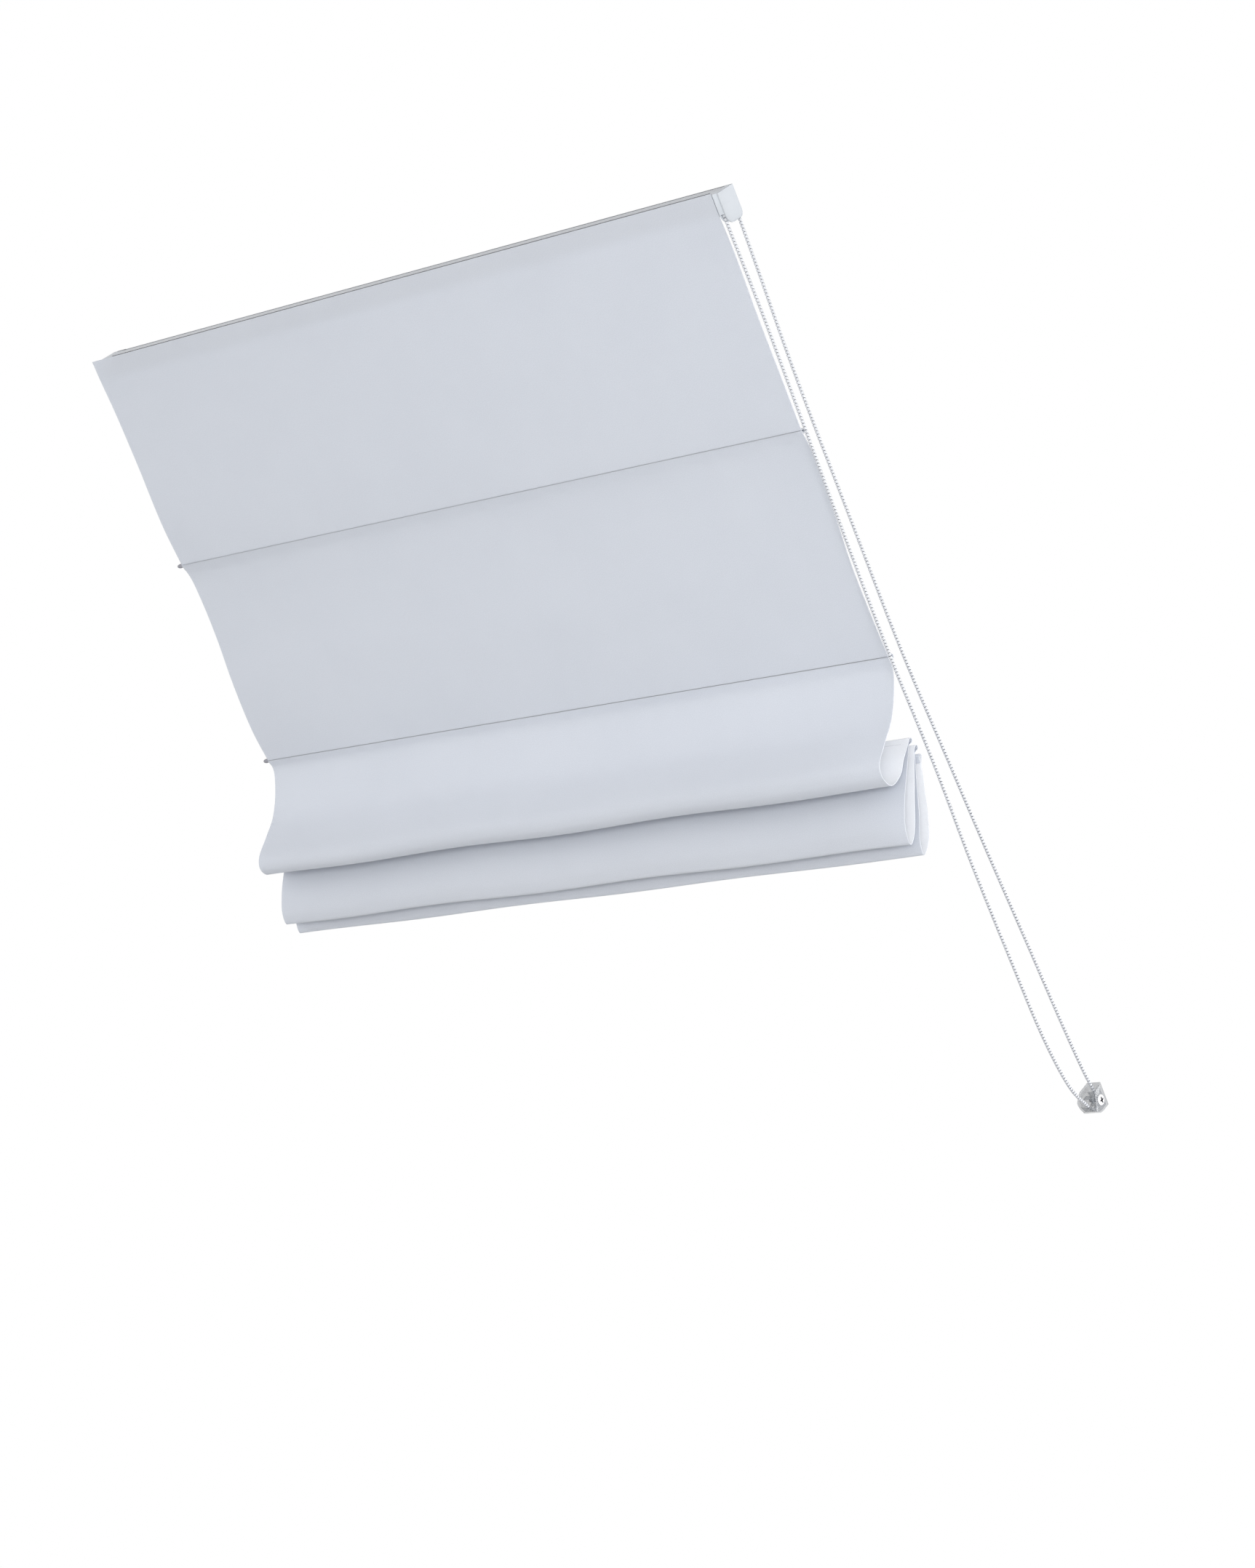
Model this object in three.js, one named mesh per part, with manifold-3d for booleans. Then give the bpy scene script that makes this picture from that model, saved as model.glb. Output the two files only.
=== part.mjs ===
// Roof window roman blind with headrail, bead chain drive and chain tidy.
// Millimetres, +X along the headrail, +Z up. The origin is the middle of the headrail's
// back face, which is its mounting face. The blind lies on a slope, and its cloth is half
// raised.
import * as THREE from 'three';
import Module from 'manifold-3d';
import { mergeVertices } from 'three/addons/utils/BufferGeometryUtils.js';

// Slope that carries the blind, measured from the plumb line
const SLOPE_FROM_PLUMB = THREE.MathUtils.degToRad(35);

// Cloth
const CLOTH_LEFT_X = -550;
const CLOTH_RIGHT_X = 547;
const CLOTH_THICKNESS = 1.2;
const CLOTH_STAND_OFF = 35.5;
const CLOTH_STATIONS = 15;
const SEAM_1_DOWN = 315;
const SEAM_2_DOWN = 628;
const SEAM_DIP = -0.3;
const LAYER_GAP = 0.8;
const WAVE_LENGTH = 370;
const SWAY_PACE = 0.62;
const SWAY_LAG = 0.25;

// Casings that hold the rods, and the rods
const ROD_RADIUS = 2;
const ROD_RIGHT_X = 541;
const ROD_LEFT_X = -560;
const ROD_SIDES = 10;
const CASING_MIDDLE_RADIUS = 3.1;
const CASING_REACH = 8.5;
const CASING_DROOP = 0.34;
const CASING_SEGMENTS = 6;
const FIT_GAP = 0.3;
const JOIN_DEPTH = 0.5;

// Round plastic caps on the left ends of the rods
const CAP_RIGHT_X = -550.6;
const CAP_LEFT_X = -567;
const CAP_RADIUS = 3.2;
const CAP_SIDES = 14;

// Headrail: distances down the slope start at the cloth's top edge, and distances back
// start at the middle surface of the flat cloth
const TOP_EDGE_UP = 16.4;
const RAIL_TOP_DOWN = 1.4;
const RAIL_HEIGHT = 30;
const RAIL_FRONT = 3.5;
const RAIL_WALL = 2;
const RAIL_LIP = 5;
const RAIL_LEFT_X = -513.7;
const RAIL_RIGHT_X = 547.6;
const END_CAP_LEFT_X = -537;
const STRIP_FRONT = 1;
const STRIP_BACK = 3.2;
const STRIP_TOP_DOWN = 0.6;
const STRIP_HEIGHT = 23;
const STRIP_LEFT_X = -511;
const STRIP_RIGHT_X = 545.5;

// Chain drive at the right end
const DRIVE_LEFT_X = 548;
const DRIVE_FLANGE = 1.5;
const DRIVE_RIGHT_X = 555.2;
const DRIVE_FRONT = -0.6;
const DRIVE_TOP_DOWN = 1.3;
const DRIVE_FLANGE_HEIGHT = 39.7;
const CHAIN_MOUTH_DOWN = 28.5;
const DRIVE_CORE_FRONT = 6;
const DRIVE_CORE_BACK = 28;
const DRIVE_CORE_HEIGHT = 36.7;
const COVER_THICKNESS = 2;
const COVER_HEIGHT = 41.4;
const COVER_FRONT_RADIUS = 13;
const COVER_BACK_RADIUS = 8.5;

// Bead chain and the clear tidy that holds its lower end
const CHAIN_DIAMETER = 4.5;
const CHAIN_SIDES = 8;
const CHAIN_STEPS_PER_SPAN = 2;
const TIDY_LEFT_X = 574;
const TIDY_RIGHT_X = 594.5;
const TIDY_WALL = 2;
const TIDY_BACK_THICKNESS = 2.5;
const TIDY_POCKET_TOP = 1284.5;
const TIDY_POCKET_BOTTOM = 1293;
const TIDY_POCKET_BACK = 17;
const SCREW_DOWN = 1294;
const SCREW_BACK = 21.5;
const SCREW_SHANK_RADIUS = 2;
const SCREW_HEAD_RADIUS = 7.3;
const SCREW_HEAD_HEIGHT = 2.2;
const SCREW_SLOT_SHARE = 0.62;
const SCREW_SLOT_WIDTH = 2;
const SCREW_SLOT_DEPTH = 1.2;

// The cloth between its seams, by distance down the slope: how far it stands back from
// its flat plane at its left and right edges
const UPPER_PANEL = [
  { down: 0, left: 0, right: 0 },
  { down: 27, left: 0, right: 0 },
  { down: 75, left: 1.2, right: 2.2 },
  { down: 160, left: -0.2, right: 0.2 },
  { down: 250, left: -3.6, right: 0.3 },
];
const SECOND_PANEL = [
  { down: 335, left: 5.8, right: 3.6 },
  { down: 375, left: 7.5, right: 5.6 },
  { down: 435, left: 4.7, right: 1.8 },
  { down: 500, left: -2.2, right: -3.4 },
  { down: 575, left: -5, right: -2.4 },
];

// The raised part of the cloth hangs in three folds. Each row is a place on a fold, as
// horizontal distance and height from the cloth's top edge, at the left and right edges
const FOLD_1 = [
  { place: 'shoulder', left: [370.5, -525], right: [369.5, -528] },
  { place: 'chest', left: [375.3, -558], right: [371.8, -557] },
  { place: 'waist', left: [370.5, -598], right: [364.4, -598] },
  { place: 'belly', left: [357.3, -628.5], right: [349.8, -628] },
  { place: 'front', left: [342.9, -663], right: [336.9, -659.5] },
  { place: 'heel', left: [347, -677.3], right: [343.6, -674] },
  { place: 'bottom', left: [361.5, -682], right: [362.2, -680.8] },
  { place: 'rise', left: [382.5, -664], right: [382.4, -663.4] },
  { place: 'back', left: [391.5, -641.5], right: [390.6, -641] },
];
const FOLD_2 = [
  { place: 'neck', left: [399, -655], right: [397.6, -655] },
  { place: 'front', left: [392.2, -698], right: [390.9, -697] },
  { place: 'foot', left: [393.6, -735], right: [392.2, -732.5] },
  { place: 'bottom', left: [402.6, -748.6], right: [402.8, -749.8] },
  { place: 'rise', left: [410.4, -735], right: [411, -736.5] },
  { place: 'back', left: [412.6, -684], right: [413.2, -684] },
];
const FOLD_3 = [
  { place: 'neck', left: [417.6, -667], right: [419, -667] },
  { place: 'front', left: [421.6, -711], right: [423.8, -711] },
  { place: 'foot', left: [423.2, -746], right: [425.2, -745.5] },
  { place: 'bottom', left: [431, -758.4], right: [433, -759] },
  { place: 'rise', left: [441.4, -741], right: [443, -740] },
  { place: 'back', left: [441.8, -708], right: [442.2, -708] },
  { place: 'nape', left: [435, -671], right: [434.8, -671] },
];

// Where each casing is stitched, and the way its rod stands off from the stitches, both
// as horizontal distance and height
const SEAM_3 = { at: [401.6, -621.6], toRod: [0.6, 0.8] };
const SEAM_4 = { at: [414.4, -629.4], toRod: [0.54, 0.84] };
const HEM = { at: [428.3, -641], toRod: [-0.1, 0.995] };

// Small waves of the folds along the blind: up and down, and forward and back
const WAVES = {
  fold1: { swing: 1.6, sway: 1.8, shift: 5 },
  fold2: { swing: 1.2, sway: 1, shift: -70 },
  fold3: { swing: 0.7, sway: 0.8, shift: 60 },
};

// Route of the bead chain, from the drive's front mouth round the tidy to its back mouth
const CHAIN_ROUTE = [
  { x: 552.35, down: 28.8, back: 3 },
  { x: 552.4, down: 45, back: 2.6 },
  { x: 553.5, down: 95, back: 1.8 },
  { x: 555.1, down: 160, back: 0.2 },
  { x: 559, down: 300, back: -7.8 },
  { x: 562.9, down: 450, back: -16.7 },
  { x: 567.3, down: 620, back: -24 },
  { x: 571.1, down: 770, back: -24.4 },
  { x: 574.9, down: 915, back: -30.6 },
  { x: 578.5, down: 1060, back: -31.3 },
  { x: 581.2, down: 1160, back: -30.4 },
  { x: 582.8, down: 1220, back: -24.2 },
  { x: 583.7, down: 1254, back: -16.5 },
  { x: 584, down: 1270, back: -9.6 },
  { x: 584, down: 1281, back: -2.6 },
  { x: 584, down: 1290.6, back: 3.4 },
  { x: 584, down: 1298.5, back: 8 },
  { x: 584, down: 1303.6, back: 14 },
  { x: 584, down: 1304.8, back: 20.8 },
  { x: 584, down: 1302, back: 26.8 },
  { x: 584, down: 1296, back: 29.9 },
  { x: 584, down: 1288, back: 30 },
  { x: 584, down: 1279, back: 28.6 },
  { x: 583.6, down: 1255, back: 24.8 },
  { x: 582, down: 1190, back: 20.2 },
  { x: 578.6, down: 1060, back: 15.8 },
  { x: 575, down: 920, back: 10.4 },
  { x: 571.4, down: 780, back: 6.6 },
  { x: 567.4, down: 625, back: 3 },
  { x: 562.9, down: 450, back: 8 },
  { x: 557.8, down: 250, back: 15 },
  { x: 554.3, down: 120, back: 25 },
  { x: 552.7, down: 58, back: 29.6 },
  { x: 552.35, down: 28.8, back: 31 },
];

// Outlines of the tidy: its two cheeks, the guard under the chain and the hub inside it
const TIDY_LEFT_CHEEK = [
  { down: 1275, back: 35.5 },
  { down: 1275.5, back: 12.8 },
  { down: 1277.3, back: 8.1 },
  { down: 1283.8, back: -1.6 },
  { down: 1288, back: -1.9 },
  { down: 1295.5, back: 0.2 },
  { down: 1304, back: 5.8 },
  { down: 1308.6, back: 13 },
  { down: 1309.6, back: 20 },
  { down: 1309, back: 35.5 },
];
const TIDY_RIGHT_CHEEK = [
  { down: 1275, back: 35.5 },
  { down: 1277.6, back: 32.8 },
  { down: 1278.8, back: 15.4 },
  { down: 1299.6, back: 5.8 },
  { down: 1304, back: 5.8 },
  { down: 1308.6, back: 13 },
  { down: 1309.6, back: 20 },
  { down: 1309, back: 35.5 },
];
const TIDY_GUARD = [
  { down: 1291.4, back: -1.1 },
  { down: 1295.5, back: 0.2 },
  { down: 1304, back: 5.8 },
  { down: 1308.6, back: 13 },
  { down: 1309.6, back: 20 },
  { down: 1309, back: 35.5 },
  { down: 1307.4, back: 35.5 },
  { down: 1308, back: 20.3 },
  { down: 1307.1, back: 13.6 },
  { down: 1303, back: 7.1 },
  { down: 1294.9, back: 1.7 },
  { down: 1291.2, back: 0.4 },
];
const TIDY_HUB = [
  { down: 1282.5, back: 6 },
  { down: 1290, back: 6.8 },
  { down: 1296.2, back: 10.6 },
  { down: 1300.6, back: 16 },
  { down: 1301.6, back: 21 },
  { down: 1299.6, back: 25 },
  { down: 1295, back: 27 },
  { down: 1288, back: 27 },
  { down: 1283.5, back: 25.8 },
];

const COLOURS = {
  cloth: { color: 0xd3d7df, roughness: 0.9, metalness: 0 },
  rail: { color: 0xe4e4e6, roughness: 0.45, metalness: 0.35 },
  strip: { color: 0x83868e, roughness: 0.95, metalness: 0 },
  white: { color: 0xf0f1f3, roughness: 0.35, metalness: 0 },
  rod: { color: 0xe9e9e6, roughness: 0.5, metalness: 0 },
  grey: { color: 0x9b9ba1, roughness: 0.5, metalness: 0 },
  chain: { color: 0xe6e8ee, roughness: 0.2, metalness: 0 },
  clear: { color: 0xc4c8ce, roughness: 0.15, metalness: 0 },
};

const wasm = await Module();
wasm.setup();

const sine = Math.sin(SLOPE_FROM_PLUMB);
const cosine = Math.cos(SLOPE_FROM_PLUMB);
const model = new THREE.Group();

// The rail, the drive, the chain and its tidy are built in this group, whose Y axis points
// straight back from the mounting face and whose Z axis points up the slope
const slope = new THREE.Group();
slope.rotation.x = SLOPE_FROM_PLUMB;
model.add(slope);

function addPiece(parent, name, geometry, look) {
  const mesh = new THREE.Mesh(geometry, new THREE.MeshStandardMaterial(COLOURS[look]));
  mesh.name = name;
  parent.add(mesh);
  return mesh;
}

// Cross-section point in the slope group: x is its Y axis and y is its Z axis
function slopeXY(down, back) {
  return new THREE.Vector2(back - CLOTH_STAND_OFF, TOP_EDGE_UP - down);
}

// The same point as horizontal distance and height in the part's own frame
function plumbPoint(down, back) {
  const flat = slopeXY(down, back);
  return new THREE.Vector2(flat.x * cosine - flat.y * sine, flat.x * sine + flat.y * cosine);
}

const topEdge = plumbPoint(0, 0);

function fromTopEdge([out, up]) {
  return new THREE.Vector2(topEdge.x + out, topEdge.y + up);
}

// Prism along X of an outline given in the slope group's Y and Z
function prism(outline, leftX, rightX, bevel = 0) {
  const shape = new THREE.Shape(outline);
  const geometry = new THREE.ExtrudeGeometry(shape, {
    depth: rightX - leftX - 2 * bevel,
    bevelEnabled: bevel > 0,
    bevelThickness: bevel,
    bevelSize: bevel,
    bevelOffset: -bevel,
    bevelSegments: 1,
  });
  geometry.translate(0, 0, leftX + bevel);
  const turn = new THREE.Matrix4().set(0, 0, 1, 0, 1, 0, 0, 0, 0, 1, 0, 0, 0, 0, 0, 1);
  geometry.applyMatrix4(turn);
  return geometry;
}

function slopeBox(leftX, rightX, front, back, topDown, bottomDown) {
  const outline = [
    slopeXY(bottomDown, front),
    slopeXY(bottomDown, back),
    slopeXY(topDown, back),
    slopeXY(topDown, front),
  ];
  return prism(outline, leftX, rightX);
}

function toSolid(geometry) {
  const bare = geometry.clone();
  bare.deleteAttribute('normal');
  bare.deleteAttribute('uv');
  const merged = mergeVertices(bare, 1e-4);
  const mesh = new wasm.Mesh({
    numProp: 3,
    vertProperties: new Float32Array(merged.attributes.position.array),
    triVerts: new Uint32Array(merged.index.array),
  });
  return new wasm.Manifold(mesh);
}

function toGeometry(solid) {
  const mesh = solid.getMesh();
  const geometry = new THREE.BufferGeometry();
  geometry.setAttribute('position', new THREE.BufferAttribute(mesh.vertProperties, 3));
  geometry.setIndex(new THREE.BufferAttribute(mesh.triVerts, 1));
  geometry.computeVertexNormals();
  return geometry;
}

function joined(geometries) {
  return geometries.map(toSolid).reduce((all, next) => all.add(next));
}

// Round bar along X, centred on a point of the part's own frame
function bar(centre, radius, leftX, rightX, sides) {
  const geometry = new THREE.CylinderGeometry(radius, radius, rightX - leftX, sides);
  geometry.rotateZ(Math.PI / 2);
  geometry.translate((leftX + rightX) / 2, centre.x, centre.y);
  return geometry;
}

// Cloth

function blend(row, share) {
  const left = new THREE.Vector2(...row.left);
  const right = new THREE.Vector2(...row.right);
  return fromTopEdge(left.lerp(right, share).toArray());
}

function smooth(points, pieces) {
  const raised = points.map((p) => new THREE.Vector3(p.x, p.y, 0));
  const curve = new THREE.CatmullRomCurve3(raised, false, 'centripetal');
  return curve.getPoints(pieces).map((p) => new THREE.Vector2(p.x, p.y));
}

// A casing is a tuck of the cloth: two layers run out from the stitches, round the rod
// and back. The sign says on which side of the tuck the cloth comes in.
function casing(stitch, toRod, sign) {
  const along = toRod.clone().normalize();
  const side = new THREE.Vector2(-along.y, along.x).multiplyScalar(sign);
  const halfNeck = (CLOTH_THICKNESS + LAYER_GAP) / 2;
  const lean = Math.asin((CASING_MIDDLE_RADIUS - halfNeck) / CASING_REACH);
  const points = [stitch.clone().addScaledVector(side, halfNeck)];
  for (let i = 0; i <= CASING_SEGMENTS; i += 1) {
    const angle = -lean + ((Math.PI + 2 * lean) * i) / CASING_SEGMENTS;
    const reach = CASING_REACH + CASING_MIDDLE_RADIUS * Math.sin(angle);
    const point = stitch.clone().addScaledVector(along, reach);
    points.push(point.addScaledVector(side, CASING_MIDDLE_RADIUS * Math.cos(angle)));
  }
  points.push(stitch.clone().addScaledVector(side, -halfNeck));
  return points;
}

const slopeDown = new THREE.Vector2(sine, -cosine);
const straightBack = new THREE.Vector2(cosine, sine);
const backAndDown = straightBack.clone().addScaledVector(slopeDown, CASING_DROOP);
const seams = [
  { stitch: plumbPoint(SEAM_1_DOWN, SEAM_DIP), toRod: backAndDown },
  { stitch: plumbPoint(SEAM_2_DOWN, SEAM_DIP), toRod: backAndDown },
  { stitch: fromTopEdge(SEAM_3.at), toRod: new THREE.Vector2(...SEAM_3.toRod) },
  { stitch: fromTopEdge(SEAM_4.at), toRod: new THREE.Vector2(...SEAM_4.toRod) },
  { stitch: fromTopEdge(HEM.at), toRod: new THREE.Vector2(...HEM.toRod) },
];

function rodCentre(seam) {
  return seam.stitch.clone().addScaledVector(seam.toRod.clone().normalize(), CASING_REACH);
}

function shareOf(x) {
  return (x - CLOTH_LEFT_X) / (CLOTH_RIGHT_X - CLOTH_LEFT_X);
}

function panelCurve(rows, x) {
  return rows.map((row) => plumbPoint(row.down, THREE.MathUtils.lerp(row.left, row.right, shareOf(x))));
}

// The middle places of a fold swing a little along the blind; its ends stay on the seams
function foldCurve(rows, wave, x) {
  const share = shareOf(x);
  const phase = (2 * Math.PI * (x - wave.shift)) / WAVE_LENGTH;
  return rows.map((row, i) => {
    const amount = Math.sin((Math.PI * (i + 1)) / (rows.length + 1));
    const point = blend(row, share);
    point.x += wave.sway * amount * Math.sin(phase * SWAY_PACE + i * SWAY_LAG);
    point.y -= wave.swing * amount * Math.cos(phase);
    return point;
  });
}

// Middle line of the cloth at one distance along the blind, from its top edge to its hem
function clothLine(x) {
  const tucks = seams.slice(0, 4).map((seam) => casing(seam.stitch, seam.toRod, 1));
  const hem = casing(seams[4].stitch, seams[4].toRod, -1);
  const first = (points) => points[0];
  const last = (points) => points[points.length - 1];
  const spans = [
    { rows: panelCurve(UPPER_PANEL, x), to: first(tucks[0]), pieces: 8 },
    { from: last(tucks[0]), rows: panelCurve(SECOND_PANEL, x), to: first(tucks[1]), pieces: 12 },
    { from: last(tucks[1]), rows: foldCurve(FOLD_1, WAVES.fold1, x), to: first(tucks[2]), pieces: 20 },
    { from: last(tucks[2]), rows: foldCurve(FOLD_2, WAVES.fold2, x), to: first(tucks[3]), pieces: 14 },
    { from: last(tucks[3]), rows: foldCurve(FOLD_3, WAVES.fold3, x), to: first(hem), pieces: 16 },
  ];
  const line = [];
  spans.forEach((span, i) => {
    const ends = span.from ? [span.from, ...span.rows, span.to] : [...span.rows, span.to];
    line.push(...smooth(ends, span.pieces));
    line.push(...(i < tucks.length ? tucks[i].slice(1, -1) : hem.slice(1)));
  });
  return line;
}

// Both faces of the cloth: the middle line set off by half the thickness to either side
function clothOutline(line) {
  const half = CLOTH_THICKNESS / 2;
  const faces = { left: [], right: [] };
  line.forEach((point, i) => {
    const before = line[Math.max(i - 1, 0)];
    const after = line[Math.min(i + 1, line.length - 1)];
    const into = i > 0 ? point.clone().sub(before).normalize() : after.clone().sub(point).normalize();
    const out = i < line.length - 1 ? after.clone().sub(point).normalize() : into.clone();
    const along = into.clone().add(out).normalize();
    const normal = new THREE.Vector2(-along.y, along.x);
    const reach = half / Math.max(normal.dot(new THREE.Vector2(-into.y, into.x)), 0.55);
    faces.left.push(point.clone().addScaledVector(normal, reach));
    faces.right.push(point.clone().addScaledVector(normal, -reach));
  });
  return [...faces.left, ...faces.right.reverse()];
}

function clothGeometry() {
  const positions = [];
  const triangles = [];
  let ring = 0;
  for (let i = 0; i < CLOTH_STATIONS; i += 1) {
    const x = THREE.MathUtils.lerp(CLOTH_LEFT_X, CLOTH_RIGHT_X, i / (CLOTH_STATIONS - 1));
    const outline = clothOutline(clothLine(x));
    ring = outline.length;
    outline.forEach((point) => positions.push(x, point.x, point.y));
  }
  for (let i = 0; i < CLOTH_STATIONS - 1; i += 1) {
    for (let k = 0; k < ring; k += 1) {
      const here = i * ring + k;
      const next = i * ring + ((k + 1) % ring);
      triangles.push(here, here + ring, next, next, here + ring, next + ring);
    }
  }
  const farEnd = (CLOTH_STATIONS - 1) * ring;
  for (let k = 0; k < ring / 2 - 1; k += 1) {
    const across = ring - 1 - k;
    triangles.push(k, k + 1, across, k + 1, across - 1, across);
    triangles.push(farEnd + k, farEnd + across, farEnd + k + 1);
    triangles.push(farEnd + k + 1, farEnd + across, farEnd + across - 1);
  }
  const geometry = new THREE.BufferGeometry();
  geometry.setAttribute('position', new THREE.Float32BufferAttribute(positions, 3));
  geometry.setIndex(triangles);
  geometry.computeVertexNormals();
  return geometry;
}

addPiece(model, 'cloth', clothGeometry(), 'cloth');

// Rods and their left end caps

function rodCap(centre) {
  const length = CAP_RIGHT_X - CAP_LEFT_X;
  const profile = [
    new THREE.Vector2(0, 0),
    new THREE.Vector2(CAP_RADIUS, 0),
    new THREE.Vector2(CAP_RADIUS, length * 0.62),
    new THREE.Vector2(CAP_RADIUS * 0.88, length * 0.8),
    new THREE.Vector2(CAP_RADIUS * 0.55, length * 0.95),
    new THREE.Vector2(0, length),
  ];
  const body = new THREE.LatheGeometry(profile, CAP_SIDES);
  body.rotateZ(Math.PI / 2);
  body.translate(CAP_RIGHT_X, centre.x, centre.y);
  const socket = bar(centre, ROD_RADIUS + FIT_GAP, ROD_LEFT_X - FIT_GAP, CAP_RIGHT_X + 1, ROD_SIDES);
  return toGeometry(toSolid(body).subtract(toSolid(socket)));
}

seams.forEach((seam, i) => {
  const centre = rodCentre(seam);
  addPiece(model, `rod_${i + 1}`, bar(centre, ROD_RADIUS, ROD_LEFT_X, ROD_RIGHT_X, ROD_SIDES), 'rod');
  addPiece(model, `rod_cap_${i + 1}`, rodCap(centre), 'grey');
});

// Headrail: a channel open down the slope, with two lips

function railOutline() {
  const top = RAIL_TOP_DOWN;
  const bottom = RAIL_TOP_DOWN + RAIL_HEIGHT;
  const back = CLOTH_STAND_OFF;
  return [
    slopeXY(top, RAIL_FRONT),
    slopeXY(bottom, RAIL_FRONT),
    slopeXY(bottom, RAIL_FRONT + RAIL_LIP + RAIL_WALL),
    slopeXY(bottom - RAIL_WALL, RAIL_FRONT + RAIL_LIP + RAIL_WALL),
    slopeXY(bottom - RAIL_WALL, RAIL_FRONT + RAIL_WALL),
    slopeXY(top + RAIL_WALL, RAIL_FRONT + RAIL_WALL),
    slopeXY(top + RAIL_WALL, back - RAIL_WALL),
    slopeXY(bottom - RAIL_WALL, back - RAIL_WALL),
    slopeXY(bottom - RAIL_WALL, back - RAIL_WALL - RAIL_LIP),
    slopeXY(bottom, back - RAIL_WALL - RAIL_LIP),
    slopeXY(bottom, back),
    slopeXY(top, back),
  ];
}

addPiece(slope, 'headrail', prism(railOutline(), RAIL_LEFT_X, RAIL_RIGHT_X), 'rail');

const stripBottom = STRIP_TOP_DOWN + STRIP_HEIGHT;
const strip = slopeBox(STRIP_LEFT_X, STRIP_RIGHT_X, STRIP_FRONT, STRIP_BACK, STRIP_TOP_DOWN, stripBottom);
addPiece(slope, 'hook_strip', strip, 'strip');

const capBottom = RAIL_TOP_DOWN + RAIL_HEIGHT + FIT_GAP;
const capOutline = [
  slopeXY(capBottom, RAIL_FRONT),
  slopeXY(capBottom, CLOTH_STAND_OFF),
  slopeXY(RAIL_TOP_DOWN - FIT_GAP, CLOTH_STAND_OFF),
  slopeXY(RAIL_TOP_DOWN - FIT_GAP, RAIL_FRONT),
];
addPiece(slope, 'end_cap_left', prism(capOutline, END_CAP_LEFT_X, RAIL_LEFT_X - FIT_GAP, 0.8), 'white');

// Chain drive: a flange and a core that the chain passes in front of and behind, under
// the chamber of the chain wheel

function roundedPlate(leftX, rightX, height) {
  const frontRadius = COVER_FRONT_RADIUS;
  const backRadius = COVER_BACK_RADIUS;
  const shape = new THREE.Shape();
  const topRight = slopeXY(DRIVE_TOP_DOWN, CLOTH_STAND_OFF);
  const bottomLeft = slopeXY(DRIVE_TOP_DOWN + height, DRIVE_FRONT);
  shape.moveTo(bottomLeft.x, topRight.y);
  shape.lineTo(bottomLeft.x, bottomLeft.y + frontRadius);
  shape.absarc(bottomLeft.x + frontRadius, bottomLeft.y + frontRadius, frontRadius, Math.PI, 1.5 * Math.PI);
  shape.absarc(topRight.x - backRadius, bottomLeft.y + backRadius, backRadius, 1.5 * Math.PI, 2 * Math.PI);
  shape.lineTo(topRight.x, topRight.y);
  const outline = shape.getPoints(4);
  return prism(outline, leftX, rightX);
}

function driveHousing() {
  const flangeRight = DRIVE_LEFT_X + DRIVE_FLANGE;
  const left = flangeRight - JOIN_DEPTH;
  const right = DRIVE_RIGHT_X;
  const mouth = CHAIN_MOUTH_DOWN;
  const coreBottom = DRIVE_TOP_DOWN + DRIVE_CORE_HEIGHT;
  const pieces = [
    roundedPlate(DRIVE_LEFT_X, flangeRight, DRIVE_FLANGE_HEIGHT),
    slopeBox(left, right, DRIVE_FRONT, CLOTH_STAND_OFF, DRIVE_TOP_DOWN, mouth),
    slopeBox(left, right, DRIVE_CORE_FRONT, DRIVE_CORE_BACK, mouth - JOIN_DEPTH, coreBottom),
  ];
  return toGeometry(joined(pieces));
}

addPiece(slope, 'drive_housing', driveHousing(), 'white');

const coverLeft = DRIVE_RIGHT_X + FIT_GAP;
const cover = roundedPlate(coverLeft, coverLeft + COVER_THICKNESS, COVER_HEIGHT);
addPiece(slope, 'drive_cover', cover, 'white');

// Bead chain as one plain tube. Its points lie closer where it bends, and the steps of
// the tube follow the points.

class RoutedCurve extends THREE.CatmullRomCurve3 {
  getPointAt(share, target) {
    return this.getPoint(share, target);
  }

  getTangentAt(share, target) {
    return this.getTangent(share, target);
  }
}

function chainGeometry() {
  const points = CHAIN_ROUTE.map((row) => {
    const flat = slopeXY(row.down, row.back);
    return new THREE.Vector3(row.x, flat.x, flat.y);
  });
  const section = new THREE.Shape();
  for (let i = 0; i < CHAIN_SIDES; i += 1) {
    const angle = (2 * Math.PI * i) / CHAIN_SIDES;
    const x = (CHAIN_DIAMETER / 2) * Math.cos(angle);
    const y = (CHAIN_DIAMETER / 2) * Math.sin(angle);
    if (i === 0) {
      section.moveTo(x, y);
    } else {
      section.lineTo(x, y);
    }
  }
  return new THREE.ExtrudeGeometry(section, {
    steps: CHAIN_STEPS_PER_SPAN * (points.length - 1),
    bevelEnabled: false,
    extrudePath: new RoutedCurve(points, false, 'centripetal'),
  });
}

addPiece(slope, 'bead_chain', chainGeometry(), 'chain');

// Chain tidy: two cheeks, a back plate, a guard under the chain and a boss for the screw

function outlineOf(rows) {
  return rows.map((row) => slopeXY(row.down, row.back));
}

function slopeBar(down, back, radius, leftX, rightX, sides) {
  return bar(slopeXY(down, back), radius, leftX, rightX, sides);
}

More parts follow.
